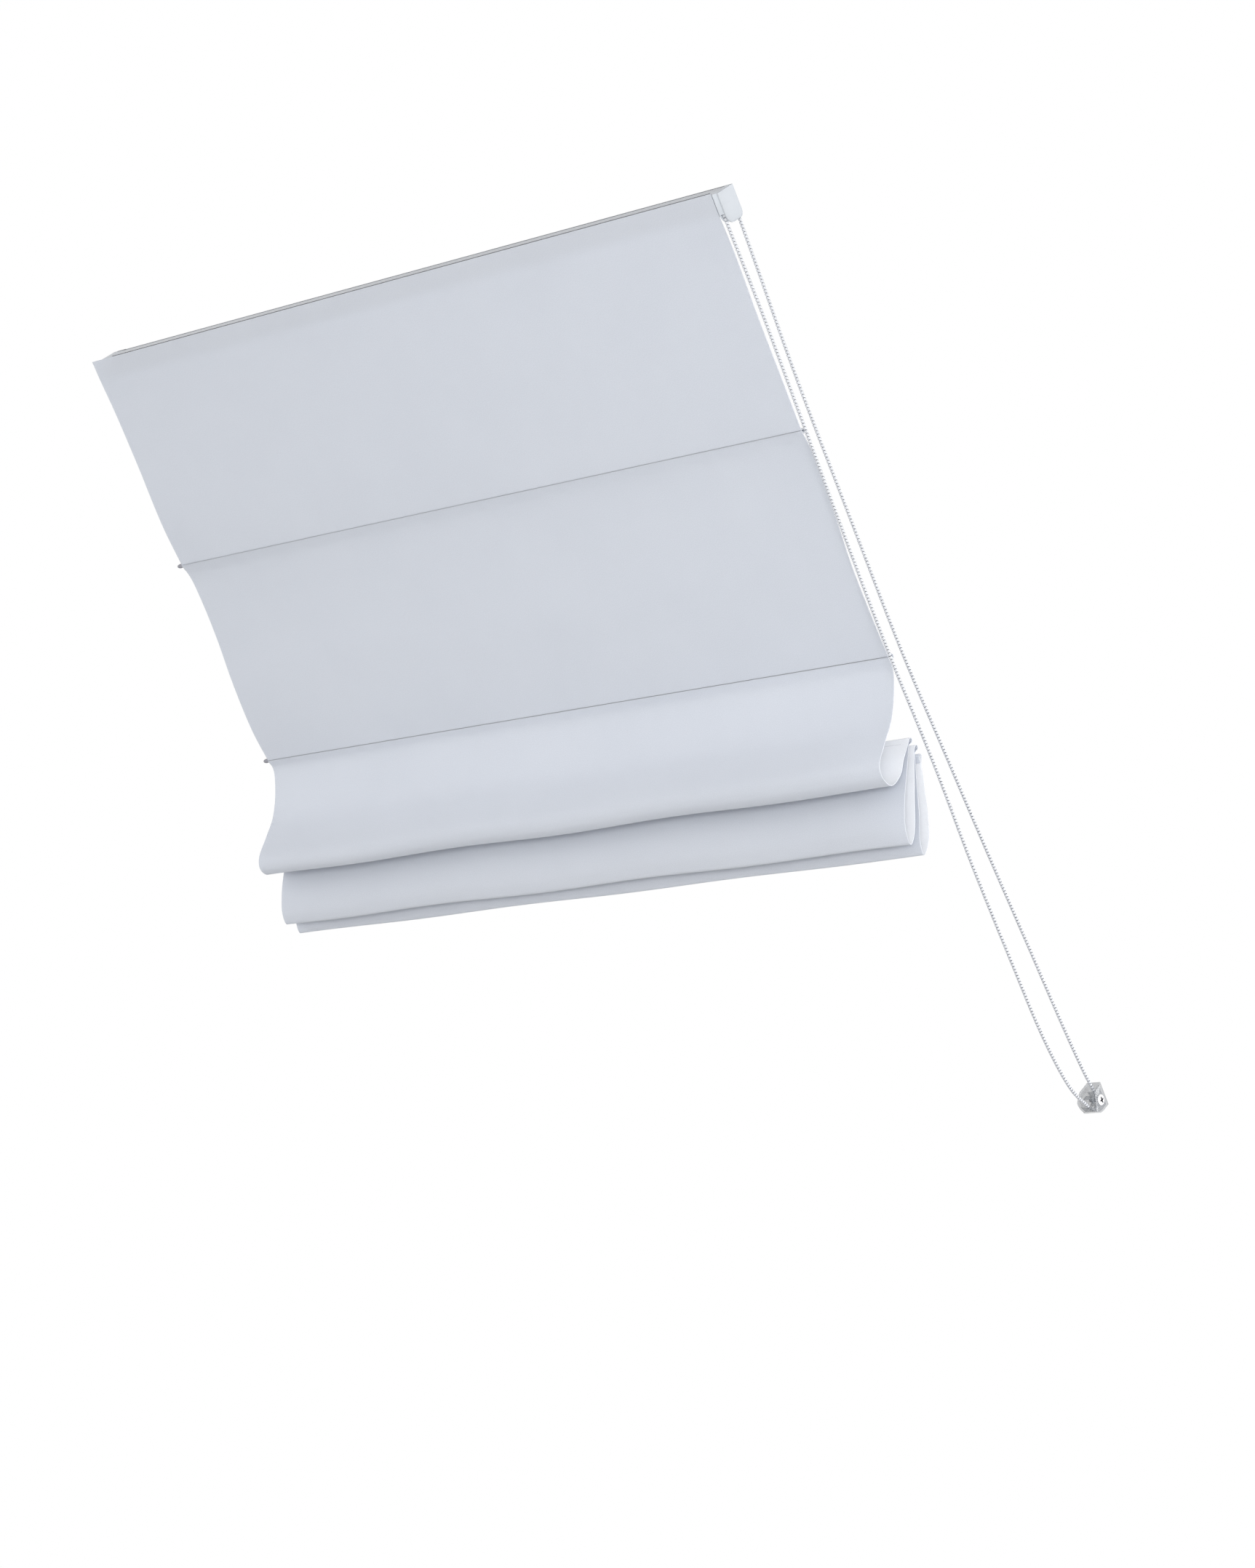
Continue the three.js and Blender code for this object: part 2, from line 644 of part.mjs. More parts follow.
function chainTidy() {
  const plateFront = CLOTH_STAND_OFF - TIDY_BACK_THICKNESS;
  const topDown = TIDY_LEFT_CHEEK[0].down;
  const bottomDown = TIDY_LEFT_CHEEK[TIDY_LEFT_CHEEK.length - 1].down;
  const innerLeft = TIDY_LEFT_X + TIDY_WALL;
  const innerRight = TIDY_RIGHT_X - TIDY_WALL;
  const body = joined([
    prism(outlineOf(TIDY_LEFT_CHEEK), TIDY_LEFT_X, innerLeft),
    prism(outlineOf(TIDY_RIGHT_CHEEK), innerRight, TIDY_RIGHT_X),
    slopeBox(TIDY_LEFT_X, TIDY_RIGHT_X, plateFront, CLOTH_STAND_OFF, topDown, bottomDown),
    prism(outlineOf(TIDY_GUARD), innerLeft - JOIN_DEPTH, innerRight + JOIN_DEPTH),
    prism(outlineOf(TIDY_HUB), innerLeft - JOIN_DEPTH, innerRight + JOIN_DEPTH),
  ]);
  const pocketLeft = innerLeft + TIDY_WALL;
  const pocketRight = innerRight - TIDY_WALL;
  const pocketFront = TIDY_GUARD[0].back;
  const holeRadius = SCREW_SHANK_RADIUS + FIT_GAP;
  const cuts = joined([
    slopeBox(pocketLeft, pocketRight, pocketFront, TIDY_POCKET_BACK, TIDY_POCKET_TOP, TIDY_POCKET_BOTTOM),
    slopeBar(SCREW_DOWN, SCREW_BACK, holeRadius, pocketLeft, TIDY_RIGHT_X + 1, 14),
  ]);
  return toGeometry(body.subtract(cuts));
}

function tidyScrew() {
  const headLeft = TIDY_RIGHT_X + FIT_GAP;
  const headRight = headLeft + SCREW_HEAD_HEIGHT;
  const shankLeft = TIDY_LEFT_X + 2 * TIDY_WALL + FIT_GAP;
  const shankRight = headLeft + JOIN_DEPTH;
  const reach = SCREW_HEAD_RADIUS * SCREW_SLOT_SHARE;
  const half = SCREW_SLOT_WIDTH / 2;
  const slotLeft = headRight - SCREW_SLOT_DEPTH;
  const slot = (across, along) => {
    const front = SCREW_BACK - across;
    const back = SCREW_BACK + across;
    return slopeBox(slotLeft, headRight + 1, front, back, SCREW_DOWN - along, SCREW_DOWN + along);
  };
  const screw = joined([
    slopeBar(SCREW_DOWN, SCREW_BACK, SCREW_HEAD_RADIUS, headLeft, headRight, 28),
    slopeBar(SCREW_DOWN, SCREW_BACK, SCREW_SHANK_RADIUS, shankLeft, shankRight, 12),
  ]);
  return toGeometry(screw.subtract(joined([slot(reach, half), slot(half, reach)])));
}

addPiece(slope, 'chain_tidy', chainTidy(), 'clear');
addPiece(slope, 'tidy_screw', tidyScrew(), 'white');

export default model;
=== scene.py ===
"""Looks of the roman blind for a roof slope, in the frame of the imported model.

Sizes in the classes are millimetres and every mesh is in metres. "down" is a distance down
the slope from the cloth's top edge, and "back" a distance straight back from the middle
of the flat cloth, towards the face that the headrail is mounted by.
"""

import logging
import math
from abc import ABC, abstractmethod
from collections.abc import Callable, Iterator, Sequence
from contextlib import contextmanager
from dataclasses import dataclass
from enum import Enum

import bmesh
import bpy
from mathutils import Matrix, Vector


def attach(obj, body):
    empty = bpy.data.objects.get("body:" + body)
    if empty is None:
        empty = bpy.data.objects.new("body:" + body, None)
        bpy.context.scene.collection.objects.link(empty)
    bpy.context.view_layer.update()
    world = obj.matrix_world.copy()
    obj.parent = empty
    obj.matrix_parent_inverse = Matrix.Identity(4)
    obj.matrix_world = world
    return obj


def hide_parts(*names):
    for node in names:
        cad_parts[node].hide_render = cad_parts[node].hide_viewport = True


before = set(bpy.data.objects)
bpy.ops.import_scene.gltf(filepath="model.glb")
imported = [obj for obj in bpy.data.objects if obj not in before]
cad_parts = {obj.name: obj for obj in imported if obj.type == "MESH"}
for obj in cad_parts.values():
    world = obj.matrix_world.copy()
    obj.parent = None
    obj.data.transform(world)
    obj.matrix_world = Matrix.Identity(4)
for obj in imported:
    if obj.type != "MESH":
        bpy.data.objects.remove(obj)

LOG = logging.getLogger("roman_blind")
MM = 0.001
BODY = "root"

# The slope's lean from the plumb line, and where the cloth's top edge is before that tilt.
SLOPE = math.radians(35)
STAND_OFF = 35.5
TOP_EDGE_UP = 16.4

# The wave texture draws about five bands in this many units of its coordinates, or half as many
# slantwise.
FIVE_BANDS = 1.6

# Two places nearer to each other than this many metres count as one.
CLOSE = 1e-5

# An edge that turns by more than this many degrees is sharp and gets rounded.
SHARP = 32

Pair = tuple[float, float]
Row = tuple[Pair, Pair]
Triple = tuple[float, float, float]
Colour = Triple


class Lie(Enum):
    """How a piece is modelled: upright in the part's frame, or flat and then tilted."""

    PLUMB = 0
    SLOPE = 1


class Bands(Enum):
    """The ways that a pattern's bands cross a piece, as the wave texture names them."""

    ALONG_X = "X"
    ALONG_Y = "Y"
    TWISTED = "DIAGONAL"


def section(down: float, back: float) -> Pair:
    """Turns a place on the slope's section into the untilted Y and Z.

    Args:
        down: Millimetres down the slope from the cloth's top edge.
        back: Millimetres straight back from the flat cloth.

    Returns:
        Y and Z in metres, before the slope's tilt.
    """
    return (back - STAND_OFF) * MM, (TOP_EDGE_UP - down) * MM


def plumb(down: float, back: float) -> Vector:
    """Turns a place on the slope's section into upright measures.

    Args:
        down: Millimetres down the slope from the cloth's top edge.
        back: Millimetres straight back from the flat cloth.

    Returns:
        Its horizontal distance and height, in millimetres.
    """
    y = back - STAND_OFF
    z = TOP_EDGE_UP - down
    return Vector((y * math.cos(SLOPE) - z * math.sin(SLOPE), y * math.sin(SLOPE) + z * math.cos(SLOPE)))


def on_slope(x: float, down: float, back: float) -> Vector:
    """Gives a place on the slope, in millimetres, as a point of the part's frame, in metres."""
    flat = plumb(down, back)
    return Vector((x, flat.x, flat.y)) * MM


def soft_line(points: Sequence[Vector], pieces: int) -> list[Vector]:
    """Draws a centripetal Catmull-Rom curve through points.

    Args:
        points: The points that the curve passes through.
        pieces: How many even steps of the curve's own parameter to take.

    Returns:
        The curve's points, one more than there are pieces.
    """
    ends = [points[0] * 2 - points[1], *points, points[-1] * 2 - points[-2]]
    line = []
    for step in range(pieces + 1):
        place = (len(points) - 1) * step / pieces
        span = min(int(place), len(points) - 2)
        share = place - span
        a, b, c, d = ends[span:span + 4]
        before = math.sqrt((b - a).length)
        between = math.sqrt((c - b).length)
        after = math.sqrt((d - c).length)
        leave = ((b - a) / before - (c - a) / (before + between) + (c - b) / between) * between
        arrive = ((c - b) / between - (d - b) / (between + after) + (d - c) / after) * between
        square = share * share
        cube = square * share
        line.append(
            b + leave * share
            + (c * 3 - b * 3 - leave * 2 - arrive) * square
            + (b * 2 - c * 2 + leave + arrive) * cube
        )
    return line


def line_length(line: Sequence[Vector]) -> float:
    """Adds up the straight steps of a line."""
    return sum((b - a).length for a, b in zip(line, line[1:]))


def even_points(line: Sequence[Vector], pitch: float) -> list[tuple[Vector, Vector]]:
    """Walks a line in even steps.

    Args:
        line: The line's points.
        pitch: The length of one step.

    Returns:
        A point and the line's direction there, for each step.
    """
    found = []
    walked = 0.0
    wanted = pitch / 2
    for a, b in zip(line, line[1:]):
        step = (b - a).length
        while wanted <= walked + step:
            found.append((a.lerp(b, (wanted - walked) / step), (b - a).normalized()))
            wanted += pitch
        walked += step
    return found


class NodeDesk:
    """Builds one material from nodes, around one Principled shader."""

    def __init__(self, name: str) -> None:
        """Starts an empty material.

        Args:
            name: The material's name.
        """
        self.material = bpy.data.materials.new(name)
        self.material.use_nodes = True
        self.tree = self.material.node_tree
        self.tree.nodes.clear()
        self.shader = self.tree.nodes.new("ShaderNodeBsdfPrincipled")
        output = self.tree.nodes.new("ShaderNodeOutputMaterial")
        self.wire(self.shader.outputs["BSDF"], output.inputs["Surface"])

    def add(self, kind: str) -> bpy.types.Node:
        """Adds a node by the end of its type name."""
        return self.tree.nodes.new("ShaderNode" + kind)

    def wire(self, source: bpy.types.NodeSocket, target: bpy.types.NodeSocket) -> None:
        """Joins two sockets."""
        self.tree.links.new(source, target)

    def set(self, **values: float | Colour) -> None:
        """Sets constants on the shader's own sockets.

        Args:
            values: Each socket's value, under its name with underscores for spaces.
        """
        for name, value in values.items():
            label = name.replace("_", " ")
            socket = self.shader.inputs[label]
            socket.default_value = (*value, 1) if isinstance(value, tuple) else value

    def places(self, scale: Triple, uv_map: str | None = None) -> bpy.types.NodeSocket:
        """Gives pattern coordinates.

        Args:
            scale: How many pattern units lie in a metre, along each axis.
            uv_map: The name of the piece's own UV map, or None for object coordinates.

        Returns:
            The scaled coordinates.
        """
        mapping = self.add("Mapping")
        mapping.inputs["Scale"].default_value = scale
        if uv_map is None:
            source = self.add("TexCoord").outputs["Object"]
        else:
            chosen = self.add("UVMap")
            chosen.uv_map = uv_map
            source = chosen.outputs["UV"]
        self.wire(source, mapping.inputs["Vector"])
        return mapping.outputs["Vector"]

    def noise(
        self, places: bpy.types.NodeSocket, detail: float = 3, rough: float = 0.5
    ) -> bpy.types.NodeSocket:
        """Gives cloudy noise at the coordinates' own scale.

        Args:
            places: The pattern coordinates.
            detail: How many finer layers the noise has.
            rough: How strong the finer layers are.

        Returns:
            The noise, from 0 to 1.
        """
        node = self.add("TexNoise")
        node.inputs["Scale"].default_value = 1
        node.inputs["Detail"].default_value = detail
        node.inputs["Roughness"].default_value = rough
        self.wire(places, node.inputs["Vector"])
        return node.outputs["Fac"]

    def waves(self, places: bpy.types.NodeSocket, bands: Bands, stray: float) -> bpy.types.NodeSocket:
        """Gives rounded bands, five of them for each FIVE_BANDS of the coordinates.

        Args:
            places: The pattern coordinates.
            bands: The way that the bands cross the piece.
            stray: How much they stray from straight.

        Returns:
            The bands' height, from 0 to 1.
        """
        node = self.add("TexWave")
        node.wave_type = "BANDS"
        node.bands_direction = bands.value
        node.inputs["Scale"].default_value = 1
        node.inputs["Distortion"].default_value = stray
        self.wire(places, node.inputs["Vector"])
        return node.outputs["Fac"]

    def reckon(
        self, operation: str, a: bpy.types.NodeSocket, b: bpy.types.NodeSocket | float
    ) -> bpy.types.NodeSocket:
        """Combines a socket with another socket or a number.

        Args:
            operation: The Math node's name of the operation.
            a: The first socket.
            b: The second socket, or a number.

        Returns:
            The result.
        """
        node = self.add("Math")
        node.operation = operation
        self.wire(a, node.inputs[0])
        if isinstance(b, bpy.types.NodeSocket):
            self.wire(b, node.inputs[1])
        else:
            node.inputs[1].default_value = b
        return node.outputs["Value"]

    def blend(self, a: bpy.types.NodeSocket, b: bpy.types.NodeSocket, share: float) -> bpy.types.NodeSocket:
        """Mixes two patterns.

        Args:
            a: The first pattern.
            b: The second pattern.
            share: How much of the mix is the first pattern, from 0 to 1.

        Returns:
            The mix.
        """
        return self.reckon("ADD", self.reckon("MULTIPLY", a, share), self.reckon("MULTIPLY", b, 1 - share))

    def tint(self, amount: bpy.types.NodeSocket, finish: "Finish", low: float, high: float) -> None:
        """Colours the shader between a finish's two colours by a value.

        Args:
            amount: The value.
            finish: The finish.
            low: The value at and below which the darker colour shows alone.
            high: The value at and above which the main colour shows alone.
        """
        ramp = self.add("ValToRGB")
        first, second = ramp.color_ramp.elements
        first.position = low
        first.color = (*finish.dark, 1)
        second.position = high
        second.color = (*finish.colour, 1)
        self.wire(amount, ramp.inputs["Fac"])
        self.wire(ramp.outputs["Color"], self.shader.inputs["Base Color"])

    def polish(self, amount: bpy.types.NodeSocket, smooth: float, rough: float) -> None:
        """Sets the shader's roughness between two values.

        Args:
            amount: Where between them it lies, from 0 to 1.
            smooth: The roughness at 0.
            rough: The roughness at 1.
        """
        span = self.add("MapRange")
        span.inputs["To Min"].default_value = smooth
        span.inputs["To Max"].default_value = rough
        self.wire(amount, span.inputs["Value"])
        self.wire(span.outputs["Result"], self.shader.inputs["Roughness"])

    def emboss(self, height: bpy.types.NodeSocket, depth: float, strength: float = 1.0) -> None:
        """Adds a bump, over any bump that is there already.

        Args:
            height: The relief, from 0 to 1.
            depth: The relief's depth in millimetres.
            strength: How much of the relief shows.
        """
        bump = self.add("Bump")
        bump.inputs["Strength"].default_value = strength
        bump.inputs["Distance"].default_value = depth * MM
        self.wire(height, bump.inputs["Height"])
        links = self.shader.inputs["Normal"].links
        if links:
            self.wire(links[0].from_socket, bump.inputs["Normal"])
        self.wire(bump.outputs["Normal"], self.shader.inputs["Normal"])


@dataclass(frozen=True)
class Finish(ABC):
    """A surface finish.

    Attributes:
        name: The material's name.
        slot: The record's material slot that it follows; not used here.
        colour: The main colour.
        dark: The colour of its darker patches.
        roughness: The main roughness.
    """

    name: str
    slot: str
    colour: Colour
    dark: Colour
    roughness: float

    def material(self) -> bpy.types.Material:
        """Gives the finish's material, which is built the first time.

        Returns:
            The material.
        """
        known = bpy.data.materials.get(self.name)
        if known is not None:
            return known
        desk = NodeDesk(self.name)
        desk.set(Base_Color=self.colour, Roughness=self.roughness)
        self.draw(desk)
        return desk.material

    @abstractmethod
    def draw(self, desk: NodeDesk) -> None:
        """Draws the finish's pattern, relief and shader values.

        Args:
            desk: The desk that holds the material.
        """


@dataclass(frozen=True)
class WovenCloth(Finish):
    """Fine plain weave, with a slight slub and soft cloudy tone.

    Attributes:
        uv_map: The name of the piece's own map of its threads, in metres.
        five_threads: Width of five threads in millimetres.
        thread_stray: How much the threads stray from straight.
        slub_pace: How often slubs come in a metre, along the weave and across it.
        grain_pace: How often the fibres' grain comes in a metre.
        cloud_pace: How often the clouds of tone come in a metre.
        grain_share: How much of the tone is grain; the rest is cloud.
        sheen: How much soft sheen the fibres have.
        glow: How much light from behind shines through.
        glow_reach: How far light travels in the threads, in millimetres.
    """

    uv_map: str = "weave"
    five_threads: float = 0.42
    thread_stray: float = 0.6
    slub_pace: Pair = (260, 1500)
    grain_pace: float = 850
    cloud_pace: float = 9
    grain_share: float = 0.85
    sheen: float = 0.2
    glow: float = 0.35
    glow_reach: float = 2.5

    def draw(self, desk: NodeDesk) -> None:
        """Draws threads both ways, slubs and a faint cloudiness.

        Args:
            desk: The desk that holds the material.
        """
        threads = FIVE_BANDS / (self.five_threads * MM)
        places = desk.places((threads, threads, threads), self.uv_map)
        warp = desk.waves(places, Bands.ALONG_X, self.thread_stray)
        weft = desk.waves(places, Bands.ALONG_Y, self.thread_stray)
        slub = desk.noise(desk.places((*self.slub_pace, 1), self.uv_map), 4, 0.6)
        grain = desk.noise(desk.places((self.grain_pace, self.grain_pace, 1), self.uv_map), 2, 0.7)
        cloud = desk.noise(desk.places((self.cloud_pace, self.cloud_pace, 1), self.uv_map))
        desk.tint(desk.blend(grain, cloud, self.grain_share), self, 0.34, 0.66)
        desk.polish(slub, self.roughness - 0.06, self.roughness + 0.06)
        desk.emboss(desk.reckon("MULTIPLY", warp, weft), 0.09, 0.5)
        desk.emboss(slub, 0.12, 0.35)
        desk.emboss(grain, 0.16, 0.35)
        desk.set(Sheen_Weight=self.sheen, Sheen_Roughness=0.5, Specular_IOR_Level=0.2)
        desk.set(Subsurface_Weight=self.glow, Subsurface_Scale=self.glow_reach * MM)
        desk.shader.inputs["Subsurface Radius"].default_value = (1.0, 1.0, 1.0)


@dataclass(frozen=True)
class PowderCoat(Finish):
    """Satin coating on extruded aluminium, with faint lines along the extrusion.

    Attributes:
        line_pace: How often the extrusion's lines come in a metre, along it and across it.
        skin_pace: How often the coat's grains come in a metre.
    """

    line_pace: Pair = (6, 900)
    skin_pace: float = 1400

    def draw(self, desk: NodeDesk) -> None:
        """Draws the extrusion's lines and the coat's fine skin.

        Args:
            desk: The desk that holds the material.
        """
        lines = desk.noise(desk.places((*self.line_pace, self.line_pace[1])))
        skin = desk.noise(desk.places((self.skin_pace,) * 3), 2)
        desk.tint(lines, self, 0.35, 0.6)
        desk.polish(skin, self.roughness - 0.05, self.roughness + 0.08)
        desk.emboss(lines, 0.05, 0.4)
        desk.emboss(skin, 0.04, 0.4)
        desk.set(Metallic=0.2, Coat_Weight=0.1, Coat_Roughness=0.3)


@dataclass(frozen=True)
class HookTape(Finish):
    """Woven tape covered in short stiff hooks.

    Attributes:
        five_hooks: Length of five rows of hooks in millimetres.
        hook_stray: How much the rows stray from straight.
        speckle_pace: How often the tape's speckles come in a metre.
    """

    five_hooks: float = 1.2
    hook_stray: float = 1.2
    speckle_pace: float = 1300

    def draw(self, desk: NodeDesk) -> None:
        """Draws the rows of hooks and the tape's speckle.

        Args:
            desk: The desk that holds the material.
        """
        hooks = FIVE_BANDS / (self.five_hooks * MM)
        rows = desk.waves(desk.places((hooks, 1, 1)), Bands.ALONG_X, self.hook_stray)
        speckle = desk.noise(desk.places((self.speckle_pace,) * 3), rough=0.7)
        desk.tint(desk.blend(rows, speckle, 0.5), self, 0.3, 0.7)
        desk.emboss(rows, 0.5, 0.7)
        desk.emboss(speckle, 0.3, 0.7)


@dataclass(frozen=True)
class MouldedPlastic(Finish):
    """Moulded plastic with a fine spark-eroded skin.

    Attributes:
        skin_pace: How often the skin's grains come in a metre.
        gloss: How much clear gloss lies over the skin.
        flow_pace: How often the flow marks come in a metre, along X, Y and Z.
    """

    skin_pace: float = 1600
    gloss: float = 0.15
    flow_pace: Triple = (70, 45, 45)

    def draw(self, desk: NodeDesk) -> None:
        """Draws the skin's grain and faint flow marks.

        Args:
            desk: The desk that holds the material.
        """
        grain = desk.noise(desk.places((self.skin_pace,) * 3), 2)
        flow = desk.noise(desk.places(self.flow_pace), 4)
        desk.tint(flow, self, 0.3, 0.62)
        desk.polish(flow, self.roughness - 0.05, self.roughness + 0.07)
        desk.emboss(grain, 0.03, 0.5)
        desk.set(Coat_Weight=self.gloss, Coat_Roughness=0.12)


@dataclass(frozen=True)
class ClearPlastic(Finish):
    """Clear moulded plastic, grey where it is thick.

    Attributes:
        body: How much of what lies behind it is hidden, from 0 to 1.
        ripple: Depth of the mould's ripples in millimetres.
        ripple_pace: How often the ripples come in a metre.
    """

    body: float = 0.36
    ripple: float = 0.05
    ripple_pace: float = 160

    def draw(self, desk: NodeDesk) -> None:
        """Draws faint ripples and lets what lies behind show.

        Args:
            desk: The desk that holds the material.
        """
        ripple = desk.noise(desk.places((self.ripple_pace,) * 3))
        desk.tint(ripple, self, 0.3, 0.7)
        desk.polish(ripple, self.roughness, self.roughness + 0.08)
        desk.emboss(ripple, self.ripple, 0.6)
        desk.set(Alpha=self.body, IOR=1.49, Coat_Weight=1.0, Coat_Roughness=0.06)


@dataclass(frozen=True)
class BeadPlastic(Finish):
    """Milky bead plastic, with painted shade towards the ends of each bead and on the cord between them.

    Attributes:
        ends: The name of the piece's attribute that is 0 at a bead's middle and 1 at its ends.
        milk_pace: How often the milky clouds come in a metre.
        clear: How much light passes through.
    """

    ends: str = "bead_end"
    milk_pace: float = 420
    clear: float = 0.12

    def draw(self, desk: NodeDesk) -> None:
        """Draws the painted shade along each bead and lets a little light through.

        Args:
            desk: The desk that holds the material.
        """
        tone = desk.add("Attribute")
        tone.attribute_name = self.ends
        milk = desk.noise(desk.places((self.milk_pace,) * 3), 2)
        # Painted shade: the attribute darkens each bead towards its ends and the cord most.
        light = desk.reckon("SUBTRACT", desk.reckon("ADD", milk, 0.55), tone.outputs["Fac"])
        desk.tint(light, self, 0.05, 0.85)
        desk.polish(milk, self.roughness - 0.05, self.roughness + 0.07)
        desk.emboss(milk, 0.03, 0.4)
        desk.set(Transmission_Weight=self.clear, IOR=1.5, Coat_Weight=0.4, Coat_Roughness=0.1)


@dataclass(frozen=True)
class GlassFibre(Finish):
    """Drawn glass fibre rod, with streaks along its length.

    Attributes:
        streak_pace: How often the streaks come in a metre, along the rod and across it.
    """

    streak_pace: Pair = (12, 2600)

    def draw(self, desk: NodeDesk) -> None:
        """Draws the fibres.

        Args:
            desk: The desk that holds the material.
        """
        fibres = desk.noise(desk.places((*self.streak_pace, self.streak_pace[1])))
        desk.tint(fibres, self, 0.35, 0.65)
        desk.polish(fibres, self.roughness - 0.08, self.roughness + 0.08)
        desk.emboss(fibres, 0.05, 0.6)


@dataclass(frozen=True)
class SewingThread(Finish):
    """Twisted polyester thread.

    Attributes:
        ply_length: Length of two and a half turns of the twist, in millimetres.
        ply_pace: How often the twist comes in a metre across the thread.
    """

    ply_length: float = 0.35
    ply_pace: float = 900

    def draw(self, desk: NodeDesk) -> None:
        """Draws the thread's twist.

        Args:
            desk: The desk that holds the material.
        """
        places = desk.places((FIVE_BANDS / (self.ply_length * MM), self.ply_pace, self.ply_pace))
        twist = desk.waves(places, Bands.TWISTED, 0.4)
        desk.tint(twist, self, 0.2, 0.8)
        desk.emboss(twist, 0.05, 0.7)
        desk.set(Sheen_Weight=0.2)


@dataclass(frozen=True)
class PaleFloor(Finish):
    """Plain pale floor, barely mottled.

    Attributes:
        mottle_pace: How often the mottling comes in a metre.
    """

    mottle_pace: float = 2

    def draw(self, desk: NodeDesk) -> None:
        """Draws the mottling.

        Args:
            desk: The desk that holds the material.
        """
        desk.tint(desk.noise(desk.places((self.mottle_pace,) * 3)), self, 0.3, 0.7)


CLOTH = WovenCloth("white_weave", "white_cloth", (0.66, 0.69, 0.75), (0.59, 0.62, 0.68), 0.88)
REVERSE = WovenCloth("white_reverse", "white_cloth", (0.90, 0.92, 0.96), (0.85, 0.87, 0.91), 0.8)
RAIL_COAT = PowderCoat("rail_coat", "rail_aluminium", (0.80, 0.82, 0.86), (0.70, 0.72, 0.76), 0.42)
# Painted shade: the dark grey in the headrail's groove stands for the shade that falls in it along the rail's
# back edge.
GROOVE_SHADE = PowderCoat("groove_shade", "rail_aluminium", (0.26, 0.265, 0.28), (0.20, 0.205, 0.22), 0.6)
# The hook tape's dark grey is partly its own colour and partly painted shade of the gap between the rail's
# front and the cloth.
HOOKS = HookTape("hook_tape", "grey_hook_tape", (0.36, 0.37, 0.41), (0.11, 0.115, 0.13), 0.9)
WHITE = MouldedPlastic("white_moulding", "white_plastic", (0.71, 0.75, 0.80), (0.68, 0.72, 0.77), 0.34)
# Painted shade: the cover is the same white plastic as the housing, made darker to offset the stronger lamp
# light on its face.
COVER_SHADED_WHITE = MouldedPlastic("cover_shaded_moulding", "white_plastic", (0.56, 0.59, 0.63), (0.53, 0.56, 0.60), 0.34)
ROD_FIBRE = GlassFibre("rod_fibre", "rod_fibreglass", (0.62, 0.63, 0.66), (0.50, 0.51, 0.54), 0.45)
GREY = MouldedPlastic("grey_moulding", "grey_plastic", (0.36, 0.36, 0.40), (0.28, 0.28, 0.32), 0.42,
                      skin_pace=1200, gloss=0.25)
BEAD = BeadPlastic("bead_moulding", "chain_plastic", (0.74, 0.76, 0.80), (0.34, 0.35, 0.39), 0.18)
CLEAR_TIDY = ClearPlastic("clear_moulding", "clear_plastic", (0.30, 0.32, 0.35), (0.22, 0.235, 0.26), 0.12)
SCREW_PAINT = MouldedPlastic("screw_paint", "screw_white", (0.88, 0.88, 0.90), (0.84, 0.84, 0.87), 0.22,
                             skin_pace=2200, gloss=0.5)
# Painted shade: the near-black in the screw's cross recess stands for the shade inside it.
RECESS_SHADE = MouldedPlastic("recess_shade", "screw_white", (0.035, 0.035, 0.04), (0.02, 0.02, 0.025), 0.5)
THREAD = SewingThread("seam_thread", "white_cloth", (0.74, 0.76, 0.80), (0.58, 0.60, 0.65), 0.7)
FLOOR = PaleFloor("pale_floor", "", (0.80, 0.80, 0.80), (0.77, 0.77, 0.77), 0.8)


